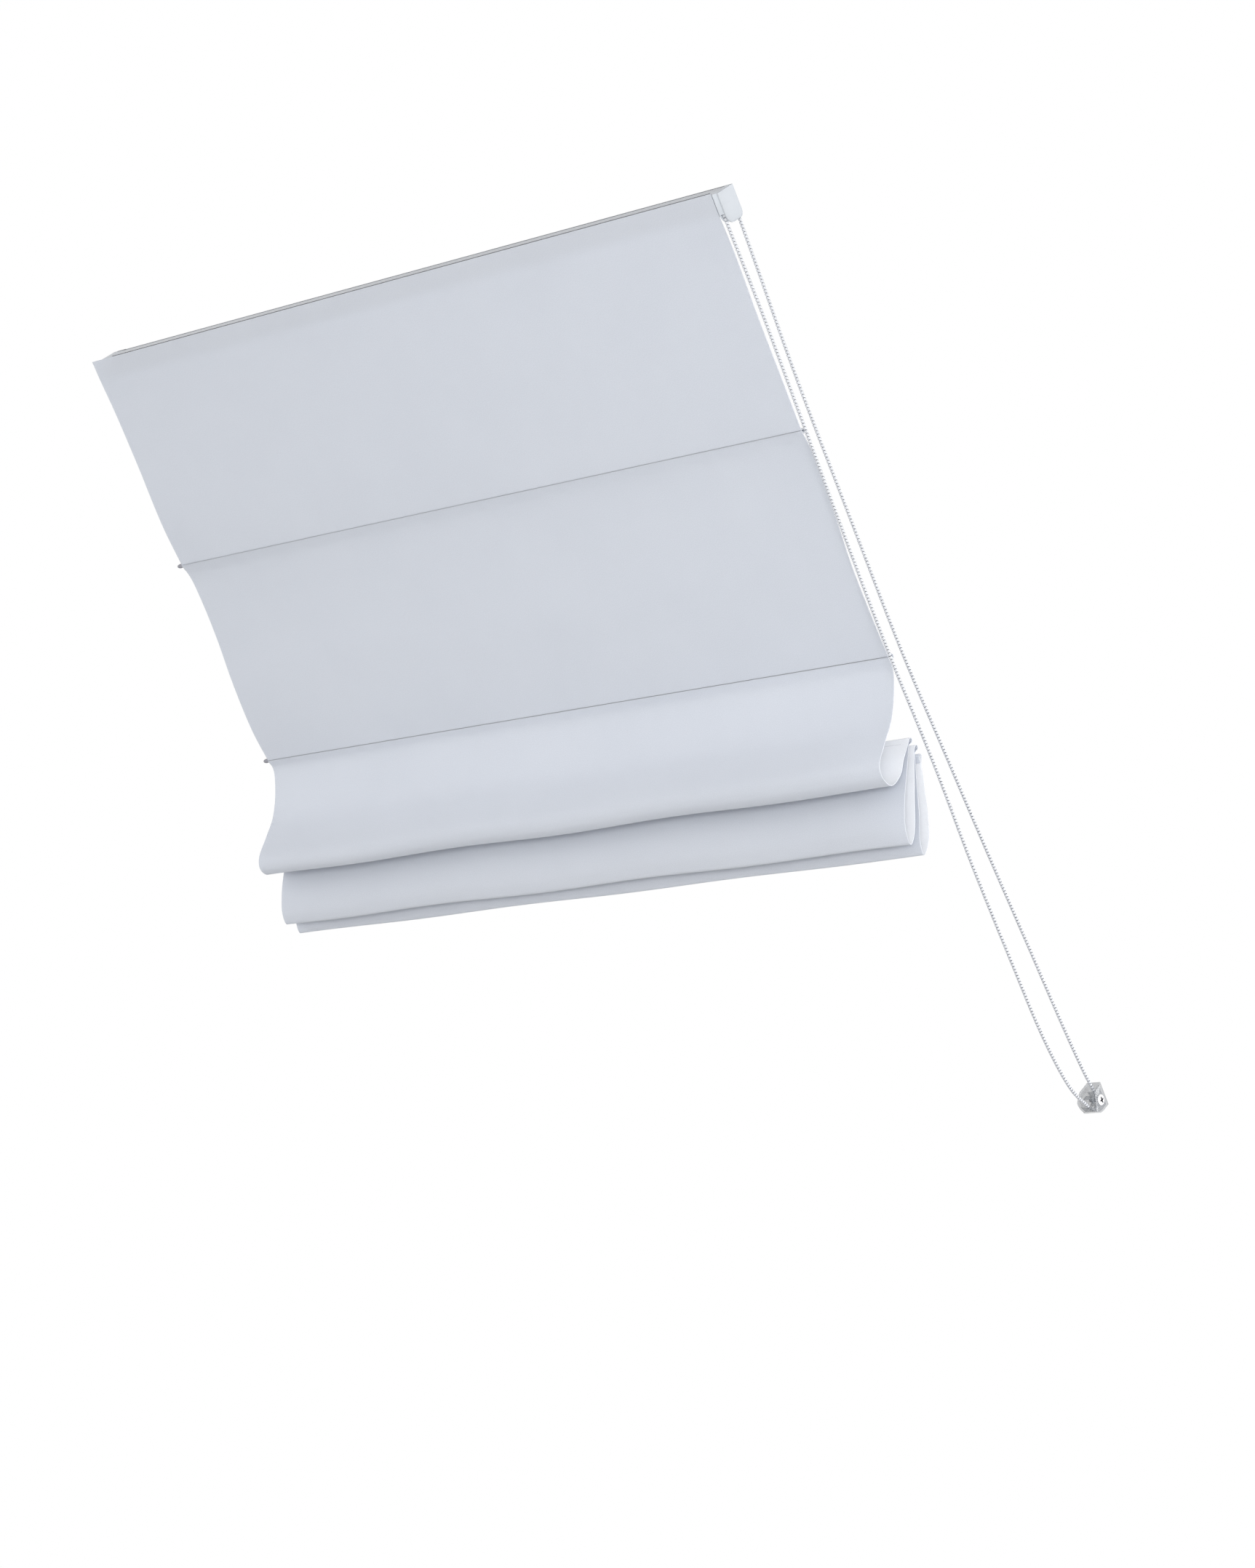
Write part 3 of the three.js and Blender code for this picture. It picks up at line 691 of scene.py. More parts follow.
class Bench:
    """Blender's modelling operators, used on one piece at a time."""

    @staticmethod
    def hold(piece: bpy.types.Object) -> None:
        """Makes a piece the only selected one and the active one.

        Args:
            piece: The piece.
        """
        bpy.ops.object.select_all(action="DESELECT")
        piece.select_set(True)
        bpy.context.view_layer.objects.active = piece

    @staticmethod
    def settle(piece: bpy.types.Object) -> None:
        """Puts a piece's place, turn and scale into its mesh."""
        Bench.hold(piece)
        bpy.ops.object.transform_apply(location=True, rotation=True, scale=True)

    @staticmethod
    def box(name: str, low: Sequence[float], high: Sequence[float]) -> bpy.types.Object:
        """Adds a box.

        Args:
            name: The piece's name.
            low: Its lowest corner in metres.
            high: Its highest corner in metres.

        Returns:
            The box, with its place in its mesh.
        """
        bpy.ops.object.select_all(action="DESELECT")
        low_corner = Vector(low)
        high_corner = Vector(high)
        bpy.ops.mesh.primitive_cube_add(size=1, location=(low_corner + high_corner) / 2)
        piece = bpy.context.active_object
        piece.name = name
        piece.scale = high_corner - low_corner
        Bench.settle(piece)
        return piece

    @staticmethod
    def bar(
        name: str, centre: Pair, radius: float, left_x: float, right_x: float, sides: int
    ) -> bpy.types.Object:
        """Adds a round bar along X.

        Args:
            name: The piece's name.
            centre: Y and Z of its middle, in metres.
            radius: Its radius in millimetres.
            left_x: Its left end in millimetres.
            right_x: Its right end in millimetres.
            sides: How many sides it has.

        Returns:
            The bar, with its place in its mesh.
        """
        bpy.ops.object.select_all(action="DESELECT")
        bpy.ops.mesh.primitive_cylinder_add(
            vertices=sides,
            radius=radius * MM,
            depth=(right_x - left_x) * MM,
            location=((left_x + right_x) / 2 * MM, centre[0], centre[1]),
            rotation=(0, math.pi / 2, 0),
        )
        piece = bpy.context.active_object
        piece.name = name
        Bench.settle(piece)
        return piece

    @staticmethod
    def plate(name: str, outline: Sequence[Pair], left_x: float, right_x: float) -> bpy.types.Object:
        """Adds a plate: a flat face of a given outline, extruded along X.

        Args:
            name: The piece's name.
            outline: Y and Z of its corners, in metres.
            left_x: Its left face in millimetres.
            right_x: Its right face in millimetres.

        Returns:
            The plate, with its place in its mesh.
        """
        bpy.ops.object.select_all(action="DESELECT")
        bpy.ops.mesh.primitive_circle_add(vertices=len(outline), radius=1, fill_type="NGON")
        piece = bpy.context.active_object
        piece.name = name
        for vertex, (y, z) in zip(piece.data.vertices, outline):
            vertex.co = (left_x * MM, y, z)
        with Bench.editing(piece):
            bpy.ops.mesh.select_all(action="SELECT")
            move = ((right_x - left_x) * MM, 0, 0)
            bpy.ops.mesh.extrude_region_move(TRANSFORM_OT_translate={"value": move})
            bpy.ops.mesh.select_all(action="SELECT")
            bpy.ops.mesh.normals_make_consistent(inside=False)
        return piece

    @staticmethod
    @contextmanager
    def editing(piece: bpy.types.Object) -> Iterator[None]:
        """Holds a piece in edit mode for a with block.

        Args:
            piece: The piece to edit.

        Returns:
            Nothing of use; the piece leaves edit mode with the block.
        """
        Bench.hold(piece)
        bpy.ops.object.mode_set(mode="EDIT")
        try:
            yield
        finally:
            bpy.ops.object.mode_set(mode="OBJECT")

    @staticmethod
    def pick(piece: bpy.types.Object, wanted: Callable[[Vector, Vector], bool]) -> None:
        """Selects the faces that a test wants, in edit mode.

        Args:
            piece: The piece that is in edit mode.
            wanted: A test of a face's middle and its normal.
        """
        bpy.ops.mesh.select_mode(type="FACE")
        mesh = bmesh.from_edit_mesh(piece.data)
        for face in mesh.faces:
            face.select_set(wanted(face.calc_center_median(), face.normal))
        mesh.select_flush_mode()
        bmesh.update_edit_mesh(piece.data)

    @staticmethod
    def pick_edges(piece: bpy.types.Object, wanted: Callable[[Vector, Vector], bool]) -> None:
        """Selects the edges that a test wants, in edit mode.

        Args:
            piece: The piece that is in edit mode.
            wanted: A test of an edge's two ends.
        """
        bpy.ops.mesh.select_mode(type="EDGE")
        mesh = bmesh.from_edit_mesh(piece.data)
        for edge in mesh.edges:
            edge.select_set(wanted(edge.verts[0].co, edge.verts[1].co))
        mesh.select_flush_mode()
        bmesh.update_edit_mesh(piece.data)

    @staticmethod
    def slice(place: Sequence[float], normal: Sequence[float]) -> None:
        """Cuts a new edge loop where a plane crosses the piece that is in edit mode."""
        bpy.ops.mesh.select_all(action="SELECT")
        bpy.ops.mesh.bisect(plane_co=place, plane_no=normal, use_fill=False)

    @staticmethod
    def push(by: Sequence[float], narrow: float = 1.0) -> None:
        """Extrudes the picked faces and scales their new end.

        Args:
            by: How far the new faces move, in metres.
            narrow: How much of its size the new end keeps.
        """
        bpy.ops.mesh.extrude_region_move(TRANSFORM_OT_translate={"value": tuple(by)})
        if narrow != 1.0:
            bpy.ops.transform.resize(value=(narrow, narrow, narrow))

    @staticmethod
    def apply(piece: bpy.types.Object, kind: str, **settings: object) -> None:
        """Adds a modifier and applies it.

        Args:
            piece: The piece to change.
            kind: Blender's name of the modifier.
            settings: The modifier's settings.
        """
        Bench.hold(piece)
        modifier = piece.modifiers.new(kind.lower(), kind)
        for name, value in settings.items():
            setattr(modifier, name, value)
        bpy.ops.object.modifier_apply(modifier=modifier.name)

    @staticmethod
    def round_edges(piece: bpy.types.Object, width: float, segments: int = 2) -> None:
        """Rounds a piece's sharp edges.

        Args:
            piece: The piece.
            width: The rounding's width in millimetres.
            segments: How many steps the rounding has.
        """
        Bench.apply(
            piece, "BEVEL", width=width * MM, segments=segments, limit_method="ANGLE",
            angle_limit=math.radians(SHARP), use_clamp_overlap=True,
        )

    @staticmethod
    def carve(piece: bpy.types.Object, tools: Sequence[bpy.types.Object]) -> None:
        """Cuts shapes out of a piece.

        Args:
            piece: The piece.
            tools: The shapes, which are then removed.
        """
        for tool in tools:
            Bench.apply(piece, "BOOLEAN", operation="DIFFERENCE", object=tool, solver="EXACT")
            bpy.data.objects.remove(tool, do_unlink=True)

    @staticmethod
    def weld(piece: bpy.types.Object, others: Sequence[bpy.types.Object]) -> None:
        """Unites other pieces with one piece.

        Args:
            piece: The piece.
            others: The other pieces, which are then removed.
        """
        for other in others:
            Bench.apply(piece, "BOOLEAN", operation="UNION", object=other, solver="EXACT")
            bpy.data.objects.remove(other, do_unlink=True)

    @staticmethod
    def gather(piece: bpy.types.Object, others: Sequence[bpy.types.Object]) -> None:
        """Joins loose pieces into one piece's mesh.

        Args:
            piece: The piece.
            others: The loose pieces.
        """
        Bench.hold(piece)
        for other in others:
            other.select_set(True)
        bpy.ops.object.join()

    @staticmethod
    def repeat(piece: bpy.types.Object, count: int, pitch: float) -> None:
        """Repeats a piece's shape along X within its own mesh.

        Args:
            piece: The piece.
            count: How many times the shape stands there in the end.
            pitch: Distance from one to the next in millimetres.
        """
        Bench.apply(
            piece, "ARRAY", count=count, use_relative_offset=False, use_constant_offset=True,
            constant_offset_displace=(pitch * MM, 0, 0),
        )

    @staticmethod
    def copy(piece: bpy.types.Object, name: str, move: Sequence[float] = (0, 0, 0)) -> bpy.types.Object:
        """Copies a piece with its own mesh.

        Args:
            piece: The piece to copy.
            name: The copy's name.
            move: How far the copy stands from the piece, in metres.

        Returns:
            The copy.
        """
        twin = piece.copy()
        twin.data = piece.data.copy()
        twin.name = name
        twin.data.transform(Matrix.Translation(Vector(move)))
        bpy.context.scene.collection.objects.link(twin)
        return twin

    @staticmethod
    def dress(
        piece: bpy.types.Object,
        finish: Finish,
        nodes: Sequence[str] = (),
        lie: Lie = Lie.PLUMB,
        smooth_angle: float = 40,
    ) -> bpy.types.Object:
        """Finishes a piece: its tilt, normals, smoothing, material and place in the frame.

        Args:
            piece: The piece.
            finish: Its finish.
            nodes: The CAD nodes that it stands for.
            lie: Whether it was modelled flat and has to be tilted onto the slope.
            smooth_angle: Edges sharper than this many degrees stay sharp.

        Returns:
            The same piece.
        """
        with Bench.editing(piece):
            bpy.ops.mesh.select_all(action="SELECT")
            bpy.ops.mesh.remove_doubles(threshold=1e-6)
            bpy.ops.mesh.normals_make_consistent(inside=False)
        if lie is Lie.SLOPE:
            piece.rotation_euler.x = SLOPE
        Bench.settle(piece)
        bpy.ops.object.shade_smooth_by_angle(angle=math.radians(smooth_angle))
        piece.data.materials.clear()
        piece.data.materials.append(finish.material())
        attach(piece, BODY)
        if nodes:
            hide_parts(*nodes)
        LOG.info("%s: %d faces", piece.name, len(piece.data.polygons))
        return piece

    @staticmethod
    def coat(piece: bpy.types.Object, finish: Finish, wanted: Callable[[Vector, Vector], bool]) -> None:
        """Gives some faces of a dressed and tilted piece a further finish, such as the painted shade in a
        groove or a recess.

        Args:
            piece: The piece.
            finish: The finish of those faces.
            wanted: A test of a face's middle and its normal, both from before the tilt.
        """
        piece.data.materials.append(finish.material())
        upright = Matrix.Rotation(-SLOPE, 3, "X")
        for face in piece.data.polygons:
            if wanted(upright @ face.center, upright @ face.normal):
                face.material_index = len(piece.data.materials) - 1


@dataclass
class PhotoCamera:
    """The photograph's camera.

    Attributes:
        place: Where it stands, in metres.
        right: The way to the right in the picture.
        down: The way down in the picture.
        forward: The way that it looks.
        focal_pixels: Its focal length in pixels of the full picture.
        frame_pixels: The full picture's height in pixels.
        sensor: The sensor's height in millimetres.
    """

    place: Triple = (3.2062, -3.4500, -1.53603)
    right: Triple = (0.773937561, 0.633261304, -0.000879)
    down: Triple = (-0.11586024, 0.14023282, -0.98331641)
    forward: Triple = (-0.622572934, 0.761127373, 0.181901249)
    focal_pixels: float = 5126
    frame_pixels: float = 2156
    sensor: float = 36

    def build(self) -> bpy.types.Object:
        """Adds the camera and makes it the scene's own.

        Returns:
            The camera.
        """
        data = bpy.data.cameras.new("photo_camera")
        data.sensor_fit = "VERTICAL"
        data.sensor_height = self.sensor
        data.lens = self.focal_pixels * self.sensor / self.frame_pixels
        data.clip_end = 100
        camera = bpy.data.objects.new("photo_camera", data)
        turn = Matrix((self.right, [-v for v in self.down], [-v for v in self.forward])).transposed()
        camera.matrix_world = Matrix.LocRotScale(Vector(self.place), turn.to_quaternion(), None)
        bpy.context.scene.collection.objects.link(camera)
        bpy.context.scene.camera = camera
        return camera


@dataclass
class BeadChain:
    """The operating chain: barrel beads on a thin cord.

    Attributes:
        route: The way that it runs, as x, down and back.
        bead_diameter: Diameter of a bead.
        bead_length: Length of a bead.
        pitch: Distance from one bead to the next.
        cord_diameter: Diameter of the cord between the beads.
        bead_sides: How many sides a bead has.
        cord_sides: How many sides the cord has.
        route_steps: How many short steps the line has between two places of the route.
        barrel_share: How much of a bead's length is its straight barrel.
        end_steps: How each end narrows, as shares of half the length and of the size before.
        dark_from: Where along half a bead its painted shade at the end starts.
    """

    route: tuple[Triple, ...] = (
        (552.35, 28.8, 3), (552.4, 45, 2.6), (553.5, 95, 1.8), (555.1, 160, 0.2), (559, 300, -7.8),
        (562.9, 450, -16.7), (567.3, 620, -24), (571.1, 770, -24.4), (574.9, 915, -30.6),
        (578.5, 1060, -31.3), (581.2, 1160, -30.4), (582.8, 1220, -24.2), (583.7, 1254, -16.5),
        (584, 1270, -9.6), (584, 1281, -2.6), (584, 1290.6, 3.4), (584, 1298.5, 8), (584, 1303.6, 14),
        (584, 1304.8, 20.8), (584, 1302, 26.8), (584, 1296, 29.9), (584, 1288, 30), (584, 1279, 28.6),
        (583.6, 1255, 24.8), (582, 1190, 20.2), (578.6, 1060, 15.8), (575, 920, 10.4), (571.4, 780, 6.6),
        (567.4, 625, 3), (562.9, 450, 8), (557.8, 250, 15), (554.3, 120, 25), (552.7, 58, 29.6),
        (552.35, 28.8, 31),
    )
    bead_diameter: float = 4.5
    bead_length: float = 3.85
    pitch: float = 4.44
    cord_diameter: float = 1.5
    bead_sides: int = 10
    cord_sides: int = 6
    route_steps: int = 12
    barrel_share: float = 0.7
    end_steps: tuple[Pair, ...] = ((0.2, 0.88), (0.1, 0.7))
    dark_from: float = 0.65

    def line(self) -> list[Vector]:
        """Gives the chain's middle line as close points, in metres."""
        places = [on_slope(*row) for row in self.route]
        return soft_line(places, self.route_steps * (len(places) - 1))

    def bead(self) -> bpy.types.Object:
        """Models one barrel bead along Z, at the origin.

        Returns:
            The bead.
        """
        bpy.ops.object.select_all(action="DESELECT")
        half = self.bead_length * MM / 2
        bpy.ops.mesh.primitive_cylinder_add(
            vertices=self.bead_sides,
            radius=self.bead_diameter * MM / 2,
            depth=half * 2 * self.barrel_share,
            end_fill_type="NGON",
        )
        bead = bpy.context.active_object
        with Bench.editing(bead):
            for way in (1, -1):
                Bench.pick(bead, lambda _, normal: normal.z * way > 0.9)
                for step, narrow in self.end_steps:
                    Bench.push((0, 0, way * half * step), narrow)
        return bead

    def build(self) -> bpy.types.Object:
        """Returns:
            The chain.
        """
        line = self.line()
        bead = self.bead()
        shape = [vertex.co.copy() for vertex in bead.data.vertices]
        reach = max(co.z for co in shape)
        # Painted shade: each bead darkens towards its ends, and the cord below gets the darkest value.
        tone = [max(abs(co.z) / reach - self.dark_from, 0) / (1 - self.dark_from) for co in shape]
        sides = [tuple(face.vertices) for face in bead.data.polygons]
        bpy.data.objects.remove(bead, do_unlink=True)
        points: list[Vector] = []
        faces: list[tuple[int, ...]] = []
        tones: list[float] = []
        for place, along in even_points(line, self.pitch * MM):
            turn = along.to_track_quat("Z", "X")
            start = len(points)
            points.extend(place + turn @ co for co in shape)
            tones.extend(tone)
            faces.extend(tuple(start + i for i in face) for face in sides)
        self.add_cord(line, points, faces)
        tones.extend(1.0 for _ in range(len(points) - len(tones)))
        mesh = bpy.data.meshes.new("bead_string")
        mesh.from_pydata(points, [], faces)
        mesh.attributes.new(BEAD.ends, "FLOAT", "POINT").data.foreach_set("value", tones)
        mesh.update()
        piece = bpy.data.objects.new("bead_string", mesh)
        bpy.context.scene.collection.objects.link(piece)
        Bench.dress(piece, BEAD, ["bead_chain"], smooth_angle=70)
        LOG.info("chain length %.3f m", line_length(line))
        return piece

    def add_cord(
        self, line: Sequence[Vector], points: list[Vector], faces: list[tuple[int, ...]]
    ) -> None:
        """Adds the thin cord's tube to the beads.

        Args:
            line: The cord's middle line.
            points: The beads' points, which grow.
            faces: The beads' faces, which grow.
        """
        around = self.cord_sides
        start = len(points)
        for i, place in enumerate(line):
            along = (line[min(i + 1, len(line) - 1)] - line[max(i - 1, 0)]).normalized()
            turn = along.to_track_quat("Z", "X")
            for k in range(around):
                angle = math.tau * k / around
                arm = Vector((math.cos(angle), math.sin(angle), 0)) * self.cord_diameter * MM / 2
                points.append(place + turn @ arm)
        for i in range(len(line) - 1):
            for k in range(around):
                here = start + i * around + k
                beside = start + i * around + (k + 1) % around
                faces.append((here, beside, beside + around, here + around))
        last = start + (len(line) - 1) * around
        faces.append(tuple(start + around - 1 - k for k in range(around)))
        faces.append(tuple(last + k for k in range(around)))


@dataclass
class Tuck:
    """A tuck of the cloth that holds one rod.

    Attributes:
        stitch: Where its stitches are, as horizontal distance and height.
        to_rod: The way from the stitches to the rod.
        sign: On which side of the tuck the cloth comes in.
        reach: How far the rod's middle is from the stitches.
        middle_radius: Radius of the cloth's middle line round the rod.
        half_neck: Half the distance between the two layers' middle lines at the stitches.
        steps: How many steps the line takes round the rod.
    """

    stitch: Vector
    to_rod: Vector
    sign: int = 1
    reach: float = 8.5
    middle_radius: float = 3.1
    half_neck: float = 0.85
    steps: int = 16

    def along(self) -> Vector:
        """Gives the way from the stitches to the rod at unit length."""
        return self.to_rod.normalized()

    def side(self) -> Vector:
        """Gives the way from the tuck's middle to its incoming layer."""
        along = self.along()
        return Vector((-along.y, along.x)) * self.sign

    def rod_centre(self) -> Vector:
        """Gives the middle of the rod that the tuck holds."""
        return self.stitch + self.along() * self.reach

    def line(self) -> list[Vector]:
        """Gives the cloth's middle line out from the stitches, round the rod and back.

        Returns:
            The line's points, as horizontal distance and height.
        """
        lean = math.asin((self.middle_radius - self.half_neck) / self.reach)
        line = [self.stitch + self.side() * self.half_neck]
        for i in range(self.steps + 1):
            angle = -lean + (math.pi + 2 * lean) * i / self.steps
            out = self.along() * (self.reach + self.middle_radius * math.sin(angle))
            line.append(self.stitch + out + self.side() * self.middle_radius * math.cos(angle))
        line.append(self.stitch - self.side() * self.half_neck)
        return line


@dataclass
class Fold:
    """A hanging fold: its places at the cloth's left and right edges, and its small waves.

    Attributes:
        rows: Horizontal distance and height from the top edge, at the left and right.
        swing: How far it waves up and down.
        sway: How far it waves forward and back.
        shift: Where its waves start along X.
        wave_length: Length of its waves up and down.
        sway_pace: How many sways it has for each wave up and down.
        sway_lag: How far each place's sway is shifted from that of the place before it.
    """

    rows: tuple[Row, ...]
    swing: float
    sway: float
    shift: float
    wave_length: float = 370
    sway_pace: float = 0.62
    sway_lag: float = 0.25

    def places(self, x: float, share: float, top: Vector) -> list[Vector]:
        """Gives the fold's places at one distance along the blind.

        Args:
            x: The distance along the blind.
            share: How far that is from the left edge to the right, from 0 to 1.
            top: The cloth's top edge, as horizontal distance and height.

        Returns:
            The places, as horizontal distance and height.
        """
        phase = math.tau * (x - self.shift) / self.wave_length
        found = []
        for i, (left, right) in enumerate(self.rows):
            amount = math.sin(math.pi * (i + 1) / (len(self.rows) + 1))
            place = top + Vector(left).lerp(Vector(right), share)
            place.x += self.sway * amount * math.sin(phase * self.sway_pace + i * self.sway_lag)
            place.y -= self.swing * amount * math.cos(phase)
            found.append(place)
        return found


@dataclass
class RomanCloth:
    """The cloth, with its tucks, its hem and its stitches.

    Attributes:
        left_x: Its left edge.
        right_x: Its right edge.
        thickness: Its thickness.
        stations: How many times its section is drawn along X.
        seam_downs: How far down the two upper tucks' stitches are.
        seam_dip: How far back these stitches are from the flat cloth.
        tuck_droop: How much the two upper tucks sag for each unit that they go back.
        upper_panel: The upper flat part, as down, and back at the left and right edges.
        second_panel: The second flat part, in the same way.
        folds: The hanging folds, from the top down.
        low_tucks: The lower tucks and the hem, as the stitches' place and the way to the rod.
        span_steps: How finely each part between two tucks is drawn.
        pucker: How far the cloth moves where it gathers beside a seam.
        pucker_reach: How far from the seam it gathers most.
        pucker_waves: The gathering's waves along X, as length for a radian, start and share.
        calm_reach: How near to the stitches it is held flatter.
        calm: How much of the gathering is left there.
        stitch_pitch: Distance from one stitch to the next.
        stitch_length: Length of a stitch.
        stitch_radius: Radius of the thread.
        stitch_sides: How many sides the thread has.
        stitch_inset: How far the rows stop from the cloth's edges.
        stitch_out: How far from the tuck's foot the rows are.
        neck_spread: How much a layer moves out over the tuck's reach, where the rows lie on it.
    """

    left_x: float = -550
    right_x: float = 547
    thickness: float = 0.9
    stations: int = 133
    seam_downs: Pair = (315, 628)
    seam_dip: float = -0.3
    tuck_droop: float = 0.34
    upper_panel: tuple[Triple, ...] = (
        (0, 0, 0), (27, 0, 0), (75, 1.2, 2.2), (160, -0.2, 0.2), (250, -3.6, 0.3),
    )
    second_panel: tuple[Triple, ...] = (
        (335, 5.8, 3.6), (375, 7.5, 5.6), (435, 4.7, 1.8), (500, -2.2, -3.4), (575, -5, -2.4),
    )
    folds: tuple[Fold, ...] = (
        Fold(
            (
                ((370.5, -525), (369.5, -528)), ((375.3, -558), (371.8, -557)),
                ((370.5, -598), (364.4, -598)), ((357.3, -628.5), (349.8, -628)),
                ((342.9, -663), (336.9, -659.5)), ((347, -677.3), (343.6, -674)),
                ((361.5, -682), (362.2, -680.8)), ((382.5, -664), (382.4, -663.4)),
                ((391.5, -641.5), (390.6, -641)),
            ),
            1.6, 1.8, 5,
        ),
        Fold(
            (
                ((399, -655), (397.6, -655)), ((392.2, -698), (390.9, -697)),
                ((393.6, -735), (392.2, -732.5)), ((402.6, -748.6), (402.8, -749.8)),
                ((410.4, -735), (411, -736.5)), ((412.6, -684), (413.2, -684)),
            ),
            1.2, 1, -70,
        ),
        Fold(
            (
                ((417.6, -667), (419, -667)), ((421.6, -711), (423.8, -711)),
                ((423.2, -746), (425.2, -745.5)), ((431, -758.4), (433, -759)),
                ((441.4, -741), (443, -740)), ((441.8, -708), (442.2, -708)),
                ((435, -671), (434.8, -671)),
            ),
            0.7, 0.8, 60,
        ),
    )
    low_tucks: tuple[tuple[Pair, Pair], ...] = (
        ((401.6, -621.6), (0.6, 0.8)), ((414.4, -629.4), (0.54, 0.84)), ((428.3, -641), (-0.1, 0.995)),
    )
    span_steps: tuple[int, ...] = (44, 44, 62, 44, 48)
    pucker: float = 0.35
    pucker_reach: float = 16
    pucker_waves: tuple[Triple, ...] = ((7.3, 0, 0.6), (11.9, 1.3, 0.4))
    calm_reach: float = 12
    calm: float = 0.15
    stitch_pitch: float = 3.4
    stitch_length: float = 2.6
    stitch_radius: float = 0.2
    stitch_sides: int = 6
    stitch_inset: float = 8
    stitch_out: float = 1.2
    neck_spread: float = 2.5

    def top(self) -> Vector:
        """Gives the cloth's top edge, as horizontal distance and height."""
        return plumb(0, 0)

    def tucks(self) -> list[Tuck]:
        """Gives the four tucks and the hem, from the top down.

        Returns:
            The tucks.
        """
        back = Vector((math.cos(SLOPE), math.sin(SLOPE)))
        down = Vector((math.sin(SLOPE), -math.cos(SLOPE)))
        found = [Tuck(plumb(at, self.seam_dip), back + down * self.tuck_droop) for at in self.seam_downs]
        for at, to_rod in self.low_tucks:
            found.append(Tuck(self.top() + Vector(at), Vector(to_rod)))
        found[-1].sign = -1
        return found

    def share(self, x: float) -> float:
        """Gives how far a distance along X is from the left edge to the right."""
        return (x - self.left_x) / (self.right_x - self.left_x)

    def panel(self, rows: Sequence[Triple], x: float) -> list[Vector]:
        """Gives the places of a flat part at one distance along the blind."""
        share = self.share(x)
        return [plumb(down, left + (right - left) * share) for down, left, right in rows]

    def line(self, x: float) -> list[Vector]:
        """Draws the cloth's middle line from its top edge to its hem.

        Args:
            x: The distance along the blind.

        Returns:
            The line's points, as horizontal distance and height.
        """
        tucks = [tuck.line() for tuck in self.tucks()]
        middles = [self.panel(self.upper_panel, x), self.panel(self.second_panel, x)]
        middles += [fold.places(x, self.share(x), self.top()) for fold in self.folds]
        line: list[Vector] = []
        for i, (places, tuck) in enumerate(zip(middles, tucks)):
            ends = [*places, tuck[0]]
            if i > 0:
                ends.insert(0, tucks[i - 1][-1])
            line += soft_line(ends, self.span_steps[i])
            line += tuck[1:-1] if i < len(tucks) - 1 else tuck[1:]
        return line

    def puckered(self, line: list[Vector], x: float, seams: Sequence[Vector]) -> list[Vector]:
        """Gathers the cloth slightly beside its seams.

        Args:
            line: The cloth's middle line.
            x: The distance along the blind.
            seams: Where the seams are.

        Returns:
            The line with its points moved along their normals.
        """
        wave = sum(math.sin(x / length + start) * share for length, start, share in self.pucker_waves)
        moved = [line[0].copy()]
        for before, here, after in zip(line, line[1:], line[2:]):
            near = min((here - seam).length for seam in seams)
            amount = self.pucker * near / self.pucker_reach * math.exp(1 - near / self.pucker_reach)
            if near < self.calm_reach:
                amount *= self.calm
            along = (after - before).normalized()
            moved.append(here + Vector((-along.y, along.x)) * wave * amount)
        moved.append(line[-1].copy())
        return moved

    def sheet(self) -> tuple[bpy.types.Object, float]:
        """Models the cloth as one thin sheet with a weave map.

        Returns:
            The sheet, and its length in metres when it lies flat.
        """
        seams = [tuck.stitch for tuck in self.tucks()]
        columns = []
        for i in range(self.stations):
            x = self.left_x + (self.right_x - self.left_x) * i / (self.stations - 1)
            columns.append((x, self.puckered(self.line(x), x, seams)))
        count = len(columns[0][1])
        points = [Vector((x, place.x, place.y)) * MM for x, line in columns for place in line]
        faces = []
        for i in range(self.stations - 1):
            for k in range(count - 1):
                here = i * count + k
                faces.append((here, here + 1, here + count + 1, here + count))
        middle = columns[self.stations // 2][1]
        walked = [0.0]
        for a, b in zip(middle, middle[1:]):
            walked.append(walked[-1] + (b - a).length)
        mesh = bpy.data.meshes.new("hung_cloth")
        mesh.from_pydata(points, [], faces)
        weave = mesh.uv_layers.new(name=CLOTH.uv_map)
        for loop in mesh.loops:
            column, row = divmod(loop.vertex_index, count)
            weave.data[loop.index].uv = (columns[column][0] * MM, -walked[row] * MM)
        piece = bpy.data.objects.new("hung_cloth", mesh)
        bpy.context.scene.collection.objects.link(piece)
        Bench.apply(
            piece, "SOLIDIFY", thickness=self.thickness * MM, offset=0, use_even_offset=True,
            thickness_clamp=0,
        )
        Bench.dress(piece, CLOTH, ["cloth"], smooth_angle=60)
        self.finish_reverse(piece, len(faces))
        return piece, walked[-1] * MM

    @staticmethod
    def finish_reverse(piece: bpy.types.Object, count: int) -> None:
        """Gives the side of the cloth that faces back a finish of its own.

        Args:
            piece: The cloth, whose mesh lists the faces of one side and then those of the other.
            count: How many faces a side has.
        """
        piece.data.materials.append(REVERSE.material())
        for start in (0, count):
            side = piece.data.polygons[start:start + count]
            if side[0].normal.y > 0:
                for face in side:
                    face.material_index = 1

